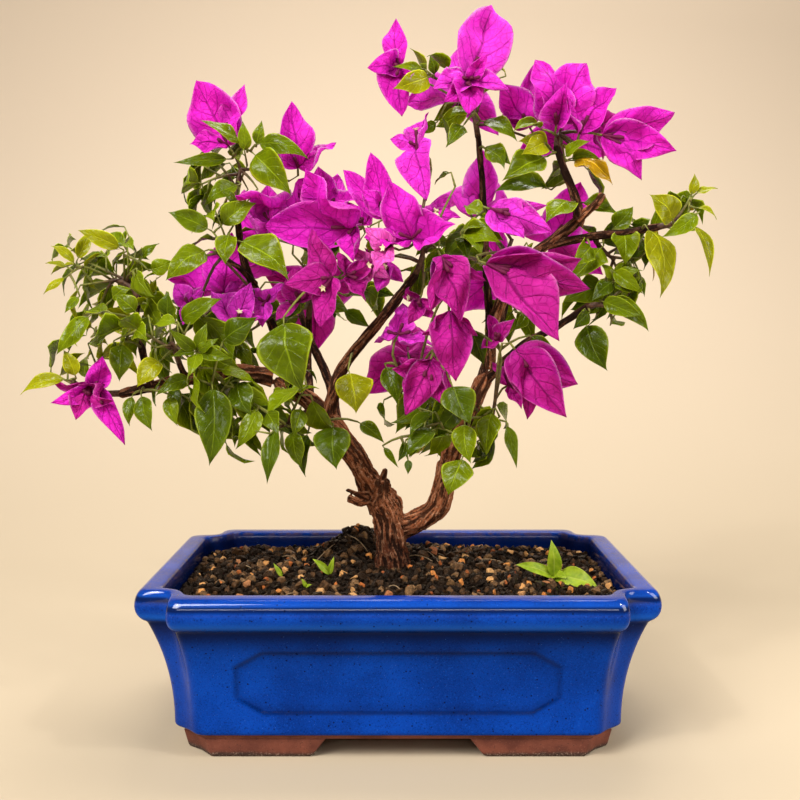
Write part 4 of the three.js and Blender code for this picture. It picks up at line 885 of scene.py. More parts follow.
# limb, middle, reach, twigs, leaves a twig, leaf length and droop
MASSES = {
    "left_tip": ("left_arm", (-170, -20, 180), (36, 34, 28), 4, 6, 23, 0.15),
    "left_upper": ("left_riser", (-152, -3, 232), (42, 42, 30), 7, 6, 25, 0.15),
    "left_rear": ("left_rear_spur", (-112, 34, 212), (44, 40, 34), 6, 6, 29, 0.3),
    "left_front": ("left_front_spur", (-113, -40, 200), (44, 30, 26), 6, 6, 29, 0.4),
    "left_under": ("left_under_spur", (-98, -30, 164), (36, 32, 36), 5, 6, 34, 0.9),
    "left_foot": ("left_foot_spur", (-58, -34, 158), (34, 34, 38), 6, 6, 31, 0.9),
    "left_whorl": ("left_whorl_spur", (-94, -14, 246), (40, 36, 34), 6, 6, 30, 0.35),
    "left_crown": ("left_upper_bough", (-84, 6, 292), (42, 40, 34), 6, 6, 28, 0.2),
    "centre_left": ("centre_left_spur", (-46, -4, 248), (40, 34, 44), 4, 5, 26, 0.4),
    "centre": ("centre_bough", (12, -28, 258), (40, 36, 42), 4, 5, 26, 0.4),
    "centre_low": ("centre_low_spur", (6, -18, 176), (36, 36, 40), 6, 6, 28, 0.9),
    "top": ("top_stem", (38, 12, 330), (46, 40, 30), 6, 6, 25, 0.25),
    "right_top": ("right_top_limb", (86, 6, 310), (46, 40, 38), 6, 6, 30, 0.35),
    "right_tip": ("right_tip_limb", (150, -8, 262), (17, 34, 34), 6, 6, 26, 0.45),
    "right_mid": ("right_mid_spur", (120, 24, 244), (32, 34, 30), 5, 6, 30, 0.5),
    "right_centre": ("right_centre_spur", (58, -26, 252), (36, 36, 34), 5, 6, 27, 0.4),
    "right_low_tip": ("right_low_limb", (112, -14, 216), (32, 34, 32), 5, 6, 28, 0.45),
    "right_low": ("right_low_spur", (48, -30, 160), (36, 36, 40), 7, 6, 30, 0.75),
    "back_left": ("back_left_bough", (-58, 70, 236), (52, 42, 52), 8, 6, 30, 0.35),
    "back_right": ("back_right_bough", (66, 70, 246), (52, 42, 52), 8, 6, 30, 0.35),
    "back_low": ("back_low_bough", (8, 54, 172), (44, 38, 38), 6, 6, 30, 0.8),
}
MASS_NODES = ["mass_" + name for name in MASSES]
# mass, tint, end of the stalk, and each bract's tip with its half width as a share of its length
BLOOMS = [
    ("top", "vivid", (1, 2, 344), [(-2, 8, 371, 0.26), (-16, -6, 342, 0.50), (3, -12, 316, 0.42)]),
    ("top", "light", (37, -8, 335),
     [(52, 4, 377, 0.40), (17, -18, 330, 0.42), (57, -20, 328, 0.30)]),
    ("top", "vivid", (37, -8, 334),
     [(45, -16, 347, 0.30), (36, -20, 315, 0.40), (24, -22, 320, 0.30)]),
    ("top", "vivid", (71, 12, 314), [(73, 18, 350, 0.20), (54, 8, 337, 0.42), (53, 4, 318, 0.40)]),
    ("right_top", "vivid", (83, -4, 313),
     [(73, 2, 349, 0.36), (100, 8, 349, 0.36), (87, -18, 331, 0.40)]),
    ("right_top", "vivid", (95, -4, 308),
     [(114, 0, 334, 0.32), (85, -12, 328, 0.30), (106, 10, 326, 0.30)]),
    ("right_top", "vivid", (107, -6, 307),
     [(147, -2, 321, 0.30), (144, -14, 298, 0.32), (127, -12, 283, 0.30)]),
    ("centre", "light", (10, -14, 300),
     [(15, -6, 319, 0.30), (-5, -10, 304, 0.30), (17, -30, 272, 0.44)]),
    ("centre", "vivid", (-7, -14, 263),
     [(-11, -8, 300, 0.26), (-29, 2, 291, 0.22), (-19, -24, 277, 0.40)]),
    ("centre", "vivid", (7, -36, 251),
     [(-5, -30, 281, 0.42), (28, -48, 257, 0.50), (-17, -38, 251, 0.40)]),
    ("centre", "rose", (21, -44, 242),
     [(44, -50, 231, 0.20), (34, -56, 210, 0.30), (15, -54, 215, 0.30)]),
    ("centre_left", "vivid", (-22, -22, 258),
     [(-49, -24, 286, 0.44), (-72, -8, 259, 0.28), (-23, -30, 240, 0.40)]),
    ("centre_left", "rose", (-33, -34, 232),
     [(-45, -30, 256, 0.46), (-56, -44, 228, 0.34), (-37, -48, 207, 0.30)]),
    ("centre_left", "rose", (-26, -30, 233),
     [(-12, -26, 240, 0.40), (-16, -36, 220, 0.42), (-30, -22, 246, 0.40)]),
    ("centre_left", "light", (-86, -4, 208),
     [(-78, -2, 231, 0.34), (-100, 2, 227, 0.34), (-70, -10, 212, 0.30)]),
    ("centre_left", "vivid", (-68, 4, 262),
     [(-71, 8, 284, 0.40), (-56, 2, 272, 0.40), (-82, 10, 272, 0.34)]),
    ("left_crown", "vivid", (-90, 4, 303),
     [(-107, 8, 339, 0.40), (-80, 6, 336, 0.30), (-111, 2, 304, 0.36)]),
    ("left_crown", "vivid", (-53, 0, 291),
     [(-57, 2, 327, 0.34), (-32, 4, 305, 0.40), (-68, -6, 304, 0.36)]),
    ("left_whorl", "light", (-110, -6, 218),
     [(-119, -2, 230, 0.42), (-102, -4, 229, 0.42), (-111, -14, 208, 0.40)]),
    ("left_tip", "vivid", (-155, -24, 176),
     [(-176, -32, 167, 0.26), (-136, -34, 149, 0.20), (-150, -26, 192, 0.42)]),
    ("left_tip", "rose", (-159, -24, 177),
     [(-179, -22, 177, 0.22), (-162, -34, 160, 0.42), (-144, -36, 168, 0.40)]),
    ("centre_low", "rose", (25, -48, 215),
     [(26, -58, 181, 0.36), (13, -46, 202, 0.40), (40, -46, 203, 0.34)]),
    ("centre_low", "light", (0, -20, 203),
     [(18, -26, 197, 0.36), (-13, -14, 199, 0.40), (3, -14, 220, 0.40)]),
    ("centre_low", "rose", (16, -44, 191),
     [(4, -50, 163, 0.36), (28, -50, 162, 0.26), (-3, -42, 185, 0.40)]),
    ("right_centre", "light", (46, -34, 266),
     [(75, -34, 268, 0.20), (77, -38, 255, 0.30), (61, -44, 250, 0.40)]),
    ("right_centre", "rose", (43, -50, 238),
     [(92, -44, 238, 0.26), (94, -50, 224, 0.30), (79, -62, 202, 0.36)]),
    ("right_low", "rose", (50, -36, 200),
     [(58, -38, 212, 0.40), (41, -42, 197, 0.40), (46, -34, 214, 0.34)]),
    ("right_low", "rose", (58, -44, 196),
     [(89, -44, 178, 0.38), (79, -54, 161, 0.36), (67, -50, 162, 0.30)]),
    ("centre_left", "vivid", (-38, 12, 272),
     [(-44, 14, 294, 0.40), (-18, 6, 277, 0.36), (-56, 16, 264, 0.40)]),
    ("centre_left", "rose", (-52, -8, 220),
     [(-65, -14, 211, 0.36), (-41, -4, 232, 0.40), (-57, -2, 238, 0.40)]),
    ("left_whorl", "light", (-71, 2, 220),
     [(-84, 6, 227, 0.36), (-60, 4, 230, 0.40), (-72, -6, 207, 0.40)]),
    ("centre", "light", (-6, -20, 240),
     [(-18, -18, 247, 0.40), (3, -24, 230, 0.36), (-10, -26, 225, 0.40)]),
    ("centre", "rose", (11, -26, 221),
     [(2, -20, 228, 0.40), (6, -32, 208, 0.36), (20, -30, 212, 0.40)]),
    ("centre", "vivid", (16, -18, 260),
     [(26, -12, 276, 0.34), (4, -12, 271, 0.36), (32, -24, 263, 0.40)]),
    ("right_low", "rose", (57, -20, 177),
     [(49, -16, 189, 0.40), (68, -20, 184, 0.36), (63, -26, 165, 0.36)]),
    ("right_top", "rose", (105, 16, 315),
     [(124, 20, 321, 0.36), (111, 12, 297, 0.36), (99, 22, 333, 0.36)]),
    ("centre_low", "rose", (10, -20, 184),
     [(0, -14, 192, 0.40), (3, -24, 172, 0.40), (22, -26, 176, 0.36)]),
    ("centre_left", "vivid", (-63, 14, 268),
     [(-78, 20, 276, 0.40), (-53, 16, 281, 0.40), (-67, 6, 251, 0.40)]),
    ("centre", "blush", (-3, -36, 247),
     [(-17, -38, 256, 0.36), (-10, -46, 234, 0.34), (-7, -28, 258, 0.40)]),
    ("centre", "blush", (-14, -22, 240),
     [(-24, -22, 247, 0.40), (-18, -30, 228, 0.36), (-4, -28, 232, 0.38)]),
    ("centre_left", "vivid", (-19, 2, 261),
     [(-26, 6, 275, 0.36), (-11, 4, 271, 0.36), (-30, -2, 262, 0.40)]),
]
# on the far side: mass, place, facing, opening, roll and bract length
FAR_BLOOMS = [
    ("left_rear", (-100, 40, 226), (-0.2, 0.6, 0.7), 45, 10, 36),
    ("centre_left", (-62, 8, 262), (-0.3, 0.1, 0.8), 50, 0, 36),
    ("top", (34, 30, 334), (0.1, 0.8, 0.5), 60, 20, 36),
    ("right_top", (92, 34, 312), (0.2, 0.75, 0.5), 55, 0, 37),
    ("back_left", (-84, 74, 246), (-0.5, 0.6, 0.5), 50, 0, 38),
    ("back_left", (-46, 86, 264), (0.1, 0.6, 0.75), 45, 30, 38),
    ("back_left", (-52, 92, 224), (0, 0.9, 0.1), 65, 60, 38),
    ("back_right", (50, 82, 276), (-0.1, 0.6, 0.75), 45, 0, 38),
    ("back_right", (92, 76, 258), (0.6, 0.6, 0.4), 50, 30, 40),
    ("back_right", (62, 94, 236), (0, 0.95, 0), 65, 0, 38),
    ("back_low", (6, 66, 190), (0, 0.85, -0.3), 55, 0, 38),
]
# the large leaves of the front: foot, tip, half width as a share of the length, roll and tint
FRONT_LEAVES = [
    ((-55, -58, 212), (-45, -64, 176), 0.37, 0, "mid"),
    ((-93, -40, 180), (-92, -46, 138), 0.23, -10, "deep"),
    ((-33, -30, 158), (-33, -38, 135), 0.43, 10, "deep"),
    ((-25, -36, 186), (-20, -42, 164), 0.42, 0, "young"),
    ((-157, -22, 214), (-173, -26, 191), 0.22, 20, "fresh"),
    ((-165, -26, 181), (-170, -24, 196), 0.30, 0, "young"),
    ((-169, -24, 180), (-195, -20, 175), 0.15, 0, "young"),
    ((-118, -40, 191), (-129, -46, 177), 0.34, 10, "young"),
    ((-139, -34, 200), (-141, -40, 180), 0.30, 0, "mid"),
    ((-86, -22, 255), (-88, -30, 238), 0.36, 0, "fresh"),
    ((-82, -24, 251), (-51, -36, 232), 0.27, 0, "fresh"),
    ((-98, -16, 247), (-116, -26, 228), 0.32, 10, "fresh"),
    ((-97, -12, 257), (-119, -16, 266), 0.26, 0, "mid"),
    ((-93, -10, 259), (-76, -6, 274), 0.30, 0, "fresh"),
    ((-116, -30, 211), (-115, -32, 225), 0.42, 0, "deep"),
    ((-111, -28, 209), (-87, -34, 220), 0.22, 0, "mid"),
    ((-88, -36, 200), (-68, -40, 210), 0.30, 0, "deep"),
    ((-132, -30, 214), (-144, -30, 223), 0.36, 0, "fresh"),
    ((-142, -16, 247), (-165, -18, 257), 0.18, 0, "young"),
    ((-167, -16, 239), (-179, -18, 249), 0.20, 0, "young"),
    ((-171, -18, 233), (-183, -20, 224), 0.14, 10, "young"),
    ((-164, -20, 223), (-171, -24, 214), 0.22, 0, "fresh"),
    ((-171, -16, 238), (-183, -14, 240), 0.16, 0, "young"),
    ((-167, -14, 241), (-160, -8, 258), 0.20, 0, "young"),
    ((-130, -34, 174), (-123, -40, 155), 0.26, 0, "mid"),
    ((-135, -30, 173), (-138, -34, 157), 0.20, 0, "mid"),
    ((-115, -34, 173), (-112, -40, 157), 0.25, 0, "fresh"),
    ((-61, -34, 158), (-63, -42, 128), 0.17, 10, "deep"),
    ((-53, -34, 156), (-49, -38, 136), 0.27, 0, "mid"),
    ((-46, -26, 154), (-48, -30, 130), 0.18, 0, "deep"),
    ((-49, -34, 167), (-53, -40, 152), 0.30, 0, "mid"),
    ((-82, -26, 180), (-76, -34, 161), 0.35, 0, "deep"),
    ((-71, -30, 167), (-79, -38, 144), 0.20, 0, "fresh"),
    ((-103, -36, 181), (-122, -42, 175), 0.20, 0, "mid"),
    ((-100, -40, 195), (-94, -42, 210), 0.22, 0, "mid"),
    ((-100, -40, 195), (-113, -46, 207), 0.20, 0, "mid"),
    ((-100, -40, 195), (-82, -46, 189), 0.20, 0, "mid"),
    ((-100, -40, 195), (-101, -50, 182), 0.26, 0, "fresh"),
    ((-100, -40, 195), (-112, -48, 192), 0.20, 0, "mid"),
    ((-100, -40, 195), (-87, -44, 200), 0.20, 0, "mid"),
    ((26, -52, 180), (32, -58, 159), 0.40, 0, "deep"),
    ((33, -46, 161), (33, -52, 140), 0.30, 0, "fresh"),
    ((33, -36, 142), (27, -42, 122), 0.38, 0, "fresh"),
    ((48, -38, 166), (44, -44, 143), 0.27, 0, "fresh"),
    ((55, -30, 159), (59, -34, 135), 0.14, 10, "mid"),
    ((20, -32, 156), (4, -38, 141), 0.30, 0, "deep"),
    ((19, -30, 164), (4, -36, 152), 0.22, 0, "deep"),
    ((4, -26, 149), (0, -30, 138), 0.25, 0, "deep"),
    ((-21, -20, 158), (-7, -26, 147), 0.26, 0, "mid"),
    ((-8, -24, 146), (-1, -28, 134), 0.14, 0, "mid"),
    ((5, -30, 140), (6, -32, 132), 0.25, 0, "deep"),
    ((98, -12, 210), (105, -18, 183), 0.33, 10, "deep"),
    ((-7, -16, 188), (1, -22, 167), 0.26, 0, "deep"),
    ((143, -14, 261), (128, -22, 275), 0.42, 0, "young"),
    ((128, -14, 260), (134, -26, 221), 0.30, -25, "young"),
    ((153, -12, 261), (159, -20, 232), 0.14, -20, "young"),
    ((153, -8, 275), (155, -8, 287), 0.25, 0, "young"),
    ((155, -8, 276), (167, -10, 278), 0.20, 0, "young"),
    ((155, -10, 269), (166, -12, 263), 0.18, 0, "young"),
    ((91, 0, 295), (112, -10, 280), 0.30, 0, "turning"),
    ((91, 2, 296), (107, -2, 297), 0.24, 0, "fresh"),
    ((83, 12, 281), (51, 6, 279), 0.27, 0, "deep"),
    ((79, 0, 297), (55, -10, 281), 0.30, 0, "fresh"),
    ((81, 4, 301), (63, -2, 306), 0.36, 0, "young"),
    ((44, 4, 316), (64, -6, 304), 0.22, 0, "mid"),
    ((45, 6, 303), (61, -2, 293), 0.28, 0, "fresh"),
    ((119, 0, 258), (119, -8, 239), 0.42, 0, "fresh"),
    ((115, 6, 259), (127, 4, 270), 0.34, 0, "mid"),
    ((109, -2, 250), (93, -10, 229), 0.34, 0, "fresh"),
    ((98, 8, 274), (117, 2, 265), 0.28, 0, "mid"),
    ((17, -6, 337), (-2, -16, 326), 0.27, 0, "young"),
    ((14, -4, 341), (-3, -8, 341), 0.16, 0, "fresh"),
    ((19, -2, 338), (17, -2, 349), 0.30, 0, "mid"),
    ((40, 2, 321), (25, -6, 316), 0.25, 0, "mid"),
    ((113, -10, 231), (123, -16, 224), 0.26, 0, "mid"),
    ((113, -10, 231), (128, -12, 236), 0.25, 0, "fresh"),
    ((113, -10, 231), (106, -10, 241), 0.25, 0, "fresh"),
    ((110, -10, 223), (133, -14, 207), 0.20, 0, "mid"),
    ((113, -10, 231), (100, -16, 220), 0.25, 0, "deep"),
    ((-88, 2, 296), (-118, -4, 291), 0.13, 0, "mid"),
    ((-81, -8, 301), (-103, -14, 311), 0.20, 0, "fresh"),
    ((-76, -6, 298), (-52, -14, 277), 0.27, 0, "fresh"),
    ((-74, -8, 302), (-44, -14, 297), 0.17, 0, "mid"),
    ((-83, -2, 282), (-103, -8, 271), 0.24, 0, "mid"),
    ((-79, -6, 298), (-80, -10, 314), 0.22, 0, "fresh"),
    ((-74, -6, 301), (-69, -8, 314), 0.24, 0, "fresh"),
    ((-84, -8, 271), (-94, -10, 278), 0.25, 0, "mid"),
    ((-128, -20, 236), (-114, -20, 240), 0.30, 0, "fresh"),
    ((-133, -18, 241), (-123, -16, 250), 0.22, 0, "mid"),
    ((-146, -26, 221), (-135, -28, 228), 0.30, 0, "fresh"),
    ((37, -26, 260), (54, -34, 251), 0.25, 0, "fresh"),
    ((34, -20, 269), (46, -28, 260), 0.30, 0, "fresh"),
    ((37, -30, 206), (44, -36, 188), 0.30, 0, "deep"),
    ((66, -34, 203), (79, -36, 195), 0.20, 0, "mid"),
    ((35, 2, 314), (27, -8, 299), 0.26, 0, "mid"),
    ((32, -28, 255), (45, -38, 258), 0.30, 0, "fresh"),
    ((32, -28, 255), (52, -40, 249), 0.27, 0, "fresh"),
    ((32, -28, 254), (43, -40, 242), 0.30, 0, "mid"),
    ((32, -26, 253), (34, -36, 240), 0.30, 0, "deep"),
    ((93, -2, 273), (78, -14, 259), 0.36, 0, "fresh"),
    ((76, 0, 311), (58, -12, 308), 0.24, 0, "fresh"),
    ((78, 0, 304), (63, -10, 296), 0.30, 0, "young"),
    ((47, 4, 301), (58, -6, 290), 0.28, 0, "mid"),
    ((88, 0, 296), (100, -10, 304), 0.26, 0, "fresh"),
    ((41, -10, 241), (53, -20, 237), 0.28, 0, "fresh"),
    ((101, -6, 250), (89, -18, 239), 0.36, 0, "fresh"),
    ((111, -12, 237), (127, -18, 224), 0.22, 0, "fresh"),
    ((105, -14, 221), (126, -20, 211), 0.22, 0, "mid"),
    ((100, -14, 215), (89, -20, 207), 0.30, 0, "deep"),
]
# rounds of the crown as it is seen from the front, middle and reach across and up, with air between them
CROWN_ROUNDS = [
    (-161, 237, 29, 24), (-157, 197, 29, 24), (-111, 211, 35, 32), (-90, 266, 26, 40), (-52, 243, 40, 40),
    (-69, 165, 46, 31), (1, 248, 54, 48), (27, 331, 32, 32), (91, 300, 32, 40), (108, 237, 32, 32),
    (151, 265, 16, 16), (28, 157, 35, 28), (65, 216, 32, 32), (-128, 171, 29, 20),
]
BARE_LIMBS = ("right_bough", "right_limb", "top_stem", "centre_bough", "right_tip_limb", "right_low_limb")


def bezier(*controls):
    """The smooth line of three or four control points."""
    t = np.linspace(0, 1, 41)[:, None]
    degree = len(controls) - 1
    return Line(sum(math.comb(degree, k) * (1 - t) ** (degree - k) * t**k * np.asarray(p, float)
                    for k, p in enumerate(controls)))


def turned(way, axis, angle):
    """A direction turned about an axis."""
    return (way * math.cos(angle) + np.cross(axis, way) * math.sin(angle)
            + axis * axis.dot(way) * (1 - math.cos(angle)))


def leaf_place(number):
    """How far out on its twig a leaf sits: the first two lower down, the rest near the tip."""
    return 0.66 if number < 2 else 0.9


def leaf_at(line, share, turn, leaf, droop, draw):
    """A leaf on a twig: it leaves at an angle, hangs a little, and turns its face up and out."""
    heading = line.heading(share)
    along = turned(square_to(sideways(heading), heading), heading, turn) * 0.85 + heading * 0.5
    along[2] -= droop * (0.6 + 0.8 * next(draw))
    along = unit(along)
    base = line.at(share)
    outward = unit((base - CROWN_MIDDLE) * np.array([1, 1, 0]))
    face = turned(square_to(UP * 0.8 + outward * 0.9, along), along, (next(draw) - 0.5) * 0.9)
    length = leaf * (0.8 + 0.4 * next(draw))
    half = length * (0.20 + 0.08 * next(draw))
    return {"base": base, "along": along, "face": face, "length": length, "half": half,
            "curl": 0.4 + 0.9 * next(draw)}


def blade_to(base, tip, wish, half_share, curl):
    """A blade from its foot to its tip in an even bow, with its face as near a wish as can be."""
    chord = tip - base
    along = unit(chord)
    face = square_to(wish, along)
    cos, sin = math.cos(curl / 2), math.sin(curl / 2)
    length = np.linalg.norm(chord) * curl / 2 / sin
    return {"base": base, "along": along * cos + face * sin, "face": face * cos - along * sin,
            "length": length, "half": half_share * length, "curl": curl}


def bracts_of(at, facing, opening, roll, size):
    """The three bracts of a bloom, round the end of its stalk, their faces towards its axis."""
    axis = unit(np.array(facing, float))
    side = square_to(sideways(axis), axis)
    tilt = math.radians(opening)
    made = []
    for k in range(3):
        radial = turned(side, axis, math.radians(roll + 120 * k))
        along = axis * math.cos(tilt) + radial * math.sin(tilt)
        face = axis * math.sin(tilt) - radial * math.cos(tilt)
        made.append({"base": np.array(at, float), "along": along, "face": face, "length": size,
                     "half": size * min(0.40, 0.66 * math.sin(tilt)), "curl": 0.4})
    return made


class Room:
    """The places that blades have taken, so that a new one can keep clear of them."""

    def __init__(self, cell):
        self.cell = cell
        self.taken = {}

    def key(self, p):
        return tuple(int(math.floor(c / self.cell)) for c in p)

    def is_free(self, places, clear):
        for p in places:
            for key in itertools.product(*[(c - 1, c, c + 1) for c in self.key(p)]):
                for q in self.taken.get(key, ()):
                    if (p[0] - q[0]) ** 2 + (p[1] - q[1]) ** 2 + (p[2] - q[2]) ** 2 < clear**2:
                        return False
        return True

    def take(self, places):
        for p in places:
            self.taken.setdefault(self.key(p), []).append(tuple(p))


def blade_places(blade):
    """A few places on a blade to test for room."""
    across = np.cross(blade["face"], blade["along"])
    made = []
    for share, sides in ((0.3, (0,)), (0.55, (-0.7, 0, 0.7)), (0.8, (-0.3, 0.3)), (1, (0,))):
        down = blade["length"] * (1 - math.cos(blade["curl"] * share)) / blade["curl"]
        ahead = blade["length"] * math.sin(blade["curl"] * share) / blade["curl"]
        middle = blade["base"] + blade["along"] * ahead - blade["face"] * down
        made += [middle + across * blade["half"] * side for side in sides]
    return made


def seen_from_front(places):
    """Where places appear from the front, across and up, and how far back each one is."""
    p = np.asarray(places)
    nearer = VIEW_DISTANCE / (VIEW_DISTANCE + p[:, 1])
    return np.column_stack([p[:, 0] * nearer, VIEW_HEIGHT + (p[:, 2] - VIEW_HEIGHT) * nearer, p[:, 1]])


def in_crown(x, z):
    """Whether a place falls in a round of the crown, looked at from the front."""
    return any(((x - a) / c) ** 2 + ((z - b) / d) ** 2 < 1 for a, b, c, d in CROWN_ROUNDS)


shoots = Heap()
room = Room(ROOM_CELL)
carriers = []


def add_shoot(line, thick, thin, old, young):
    """Adds a shoot that tapers along a line, and goes from old wood to young."""
    shares = np.linspace(0, 1, max(4, int(line.length / 5)))
    wobble = [1 + 0.12 * noise.noise(Vector(line.at(share)) * 0.4) for share in shares]
    radii = (thick + (thin - thick) * shares) * np.array(wobble)
    shoots.add_tube(rings_along(line, shares, radii, 6), age=old + (young - old) * shares)


in_sight = []
for name, line in limb_lines.items():
    places = [line.at(share) for share in np.linspace(0.05, 0.97, int(line.length / 3))]
    room.take(places)
    carriers += places
    if name in BARE_LIMBS:
        in_sight += places
stems = {}
sprays = []
for number, (name, (limb, middle, reach, twigs, leaves, leaf, droop)) in enumerate(MASSES.items()):
    draw = seeded(TWIG_SEED + number)
    finer = seeded(SPRIG_SEED + number)
    middle = np.array(middle, float)
    heading = limb_lines[limb].heading(1)
    start = limb_lines[limb].at(1) + heading * GAP
    stem = stems[name] = bezier(start, start + heading * 0.5 * np.linalg.norm(start - middle), middle)
    add_shoot(bezier(start - heading * 3, *[stem.at(s) for s in (0.33, 0.66)], stem.at(1)),
              thick=min(LIMBS[limb][0][1] / 2, 1.8), thin=1.0, old=1.0, young=0.75)
    places = [stem.at(share) for share in np.linspace(0, 1, 12)]
    room.take(places)
    carriers += places
    for k in range(twigs):
        height = 1 - 2 * (k + 0.5) / twigs
        around = k * GOLDEN_ANGLE + next(draw) * 0.8
        level = math.sqrt(1 - height * height)
        out = np.array([level * math.cos(around), level * math.sin(around), height])
        tip = middle + out * np.array(reach) * (0.55 + 0.15 * next(draw))
        share = 0.35 + 0.65 * (k + 0.5) / twigs
        root = stem.at(share)
        bow = root + (tip - root) * 0.45 + stem.heading(share) * 0.2 * np.linalg.norm(tip - root)
        twig = bezier(root, bow, tip)
        turn = next(draw) * math.pi * 2
        blades = [leaf_at(twig, leaf_place(j), turn + j * GOLDEN_ANGLE, leaf, droop, draw)
                  for j in range(leaves)]
        sprays.append((name, twig, blades, finer))

blooms = []
for name, tint, at, tips in BLOOMS:
    at = np.array(at, float)
    axis = unit(sum(unit(np.array(tip[:3]) - at) for tip in tips) + VIEWER * 0.4)
    wish = axis * 0.7 + VIEWER * 0.5
    bracts = [blade_to(at, np.array(tip[:3], float), wish, tip[3], 0.45) for tip in tips]
    blooms.append((name, tint, at, axis, bracts))
draw = seeded(FAR_BLOOM_SEED)
for name, at, facing, opening, roll, size in FAR_BLOOMS:
    # far blooms high up take the lighter copy of the magenta, painted light, and low ones the darker
    # copy, painted shade, when they are not vivid
    tint = "vivid" if next(draw) < 0.6 else "light" if at[2] > 250 else "rose"
    axis = unit(np.array(facing, float))
    blooms.append((name, tint, np.array(at, float), axis, bracts_of(at, facing, opening, roll, size)))
for name, _, at, axis, bracts in blooms:
    stem = stems[name]
    share = min(np.linspace(0.2, 0.95, 16), key=lambda s: np.linalg.norm(stem.at(s) - at))
    root = stem.at(share)
    neck = axis * BLOOM_NECK
    to = at - neck
    far = np.linalg.norm(root - to)
    leave = root + (to - root) * 0.3 + stem.heading(share) * 0.15 * far
    stalk = bezier(root, leave, to - axis * 0.3 * far, to)
    add_shoot(stalk, thick=0.9, thin=0.6, old=0.7, young=0.35)
    add_shoot(bezier(to, to + neck * 0.5, at), thick=0.6, thin=0.6, old=0.35, young=0.3)
    carriers += [stalk.at(share) for share in (0.3, 0.55, 0.8)]
    for bract in bracts:
        room.take(blade_places(bract))
        in_sight += blade_places(bract)

kept_leaves = []
draw = seeded(FRONT_LEAF_SEED)
for base, tip, half, roll, tint in FRONT_LEAVES:
    base, tip = np.array(base, float), np.array(tip, float)
    way = unit(tip - base)
    roll += (next(draw) - 0.5) * 50
    wish = turned(square_to(VIEWER * 0.9 + UP * 0.45, way), way, math.radians(roll))
    blade = blade_to(base, tip, wish, half, 0.6 + 0.6 * next(draw))
    room.take(blade_places(blade))
    in_sight += blade_places(blade)
    kept_leaves.append((None, tint, blade))
    holder = min(carriers, key=lambda p: np.linalg.norm(p - base))
    gap = np.linalg.norm(base - holder)
    stalk = bezier(holder, (holder + base) / 2 + UP * gap * 0.15, base)
    add_shoot(stalk, thick=0.8, thin=0.45, old=0.5, young=0.05)
    carriers += [stalk.at(share) for share in (0.35, 0.6, 0.8)]

in_sight = seen_from_front(in_sight)


def covers(seen):
    """Whether a blade, as seen from the front, comes before something that has to stay in sight."""
    off = np.hypot(seen[:, None, 0] - in_sight[None, :, 0], seen[:, None, 1] - in_sight[None, :, 1])
    return bool(((off < SIGHT_CLEAR) & (in_sight[None, :, 2] > seen[:, None, 2] + 1)).any())


for name, twig, blades, finer in sprays:
    *_, leaf, droop = MASSES[name]
    fresh = list(blades)
    sprigs = []
    for j, share in enumerate(SPRIG_PLACES):
        heading = twig.heading(share)
        turn = next(finer) * 0.9 + j * GOLDEN_ANGLE
        way = turned(square_to(sideways(heading), heading), heading, turn) * 0.8 + heading * 0.6
        way[2] += 0.25 - droop * 0.3
        reach = 8 + 9 * next(finer)
        root = twig.at(share)
        end = root + unit(way) * reach + UP * (1.5 - 4 * droop)
        sprig = bezier(root, root + unit(way) * reach * 0.5, end)
        sprigs.append((sprig, len(fresh)))
        for i, end in enumerate(SPRIG_LEAVES):
            size = leaf * (0.48 + 0.44 * next(finer))
            fresh.append(leaf_at(sprig, end, turn + i * GOLDEN_ANGLE, size, droop, finer))
    grown = set()
    for i, blade in enumerate(fresh):
        places = blade_places(blade)
        seen = seen_from_front(places)
        within = in_crown(*seen[2, :2]) and in_crown(*seen[-1, :2])
        if within and not covers(seen) and room.is_free(places, LEAF_CLEAR):
            room.take(places)
            kept_leaves.append((name, None, blade))
            grown.add(i)
    used = [leaf_place(i) for i in grown if i < len(blades)]
    for share, (sprig, first) in zip(SPRIG_PLACES, sprigs):
        ends = [end for i, end in enumerate(SPRIG_LEAVES) if first + i in grown]
        if ends:
            used.append(share)
            line = bezier(*[sprig.at(max(ends) * s) for s in (0, 0.5, 1)])
            add_shoot(line, thick=0.6, thin=0.35, old=0.4, young=0.0)
    if used:
        line = bezier(*[twig.at(max(used) * s) for s in (0, 0.33, 0.67, 1)])
        add_shoot(line, thick=0.9, thin=0.45, old=0.75, young=0.15)

shoot, place = surface("shoot_skin", {"Roughness": 0.6, "Specular IOR Level": 0.35})
age = place.stored("age")
streak = place.noise(700, 3, 0.6)
colour = streak.step(0.3, 0.7).tint((0.040, 0.015, 0.008), (0.12, 0.055, 0.026))
green = streak.step(0.3, 0.7).tint((0.10, 0.12, 0.010), (0.22, 0.22, 0.03))
age.step(0.2, 0.7).tint(green, colour).into("Base Color")
streak.bump(0.5, 0.0005).into("Normal")

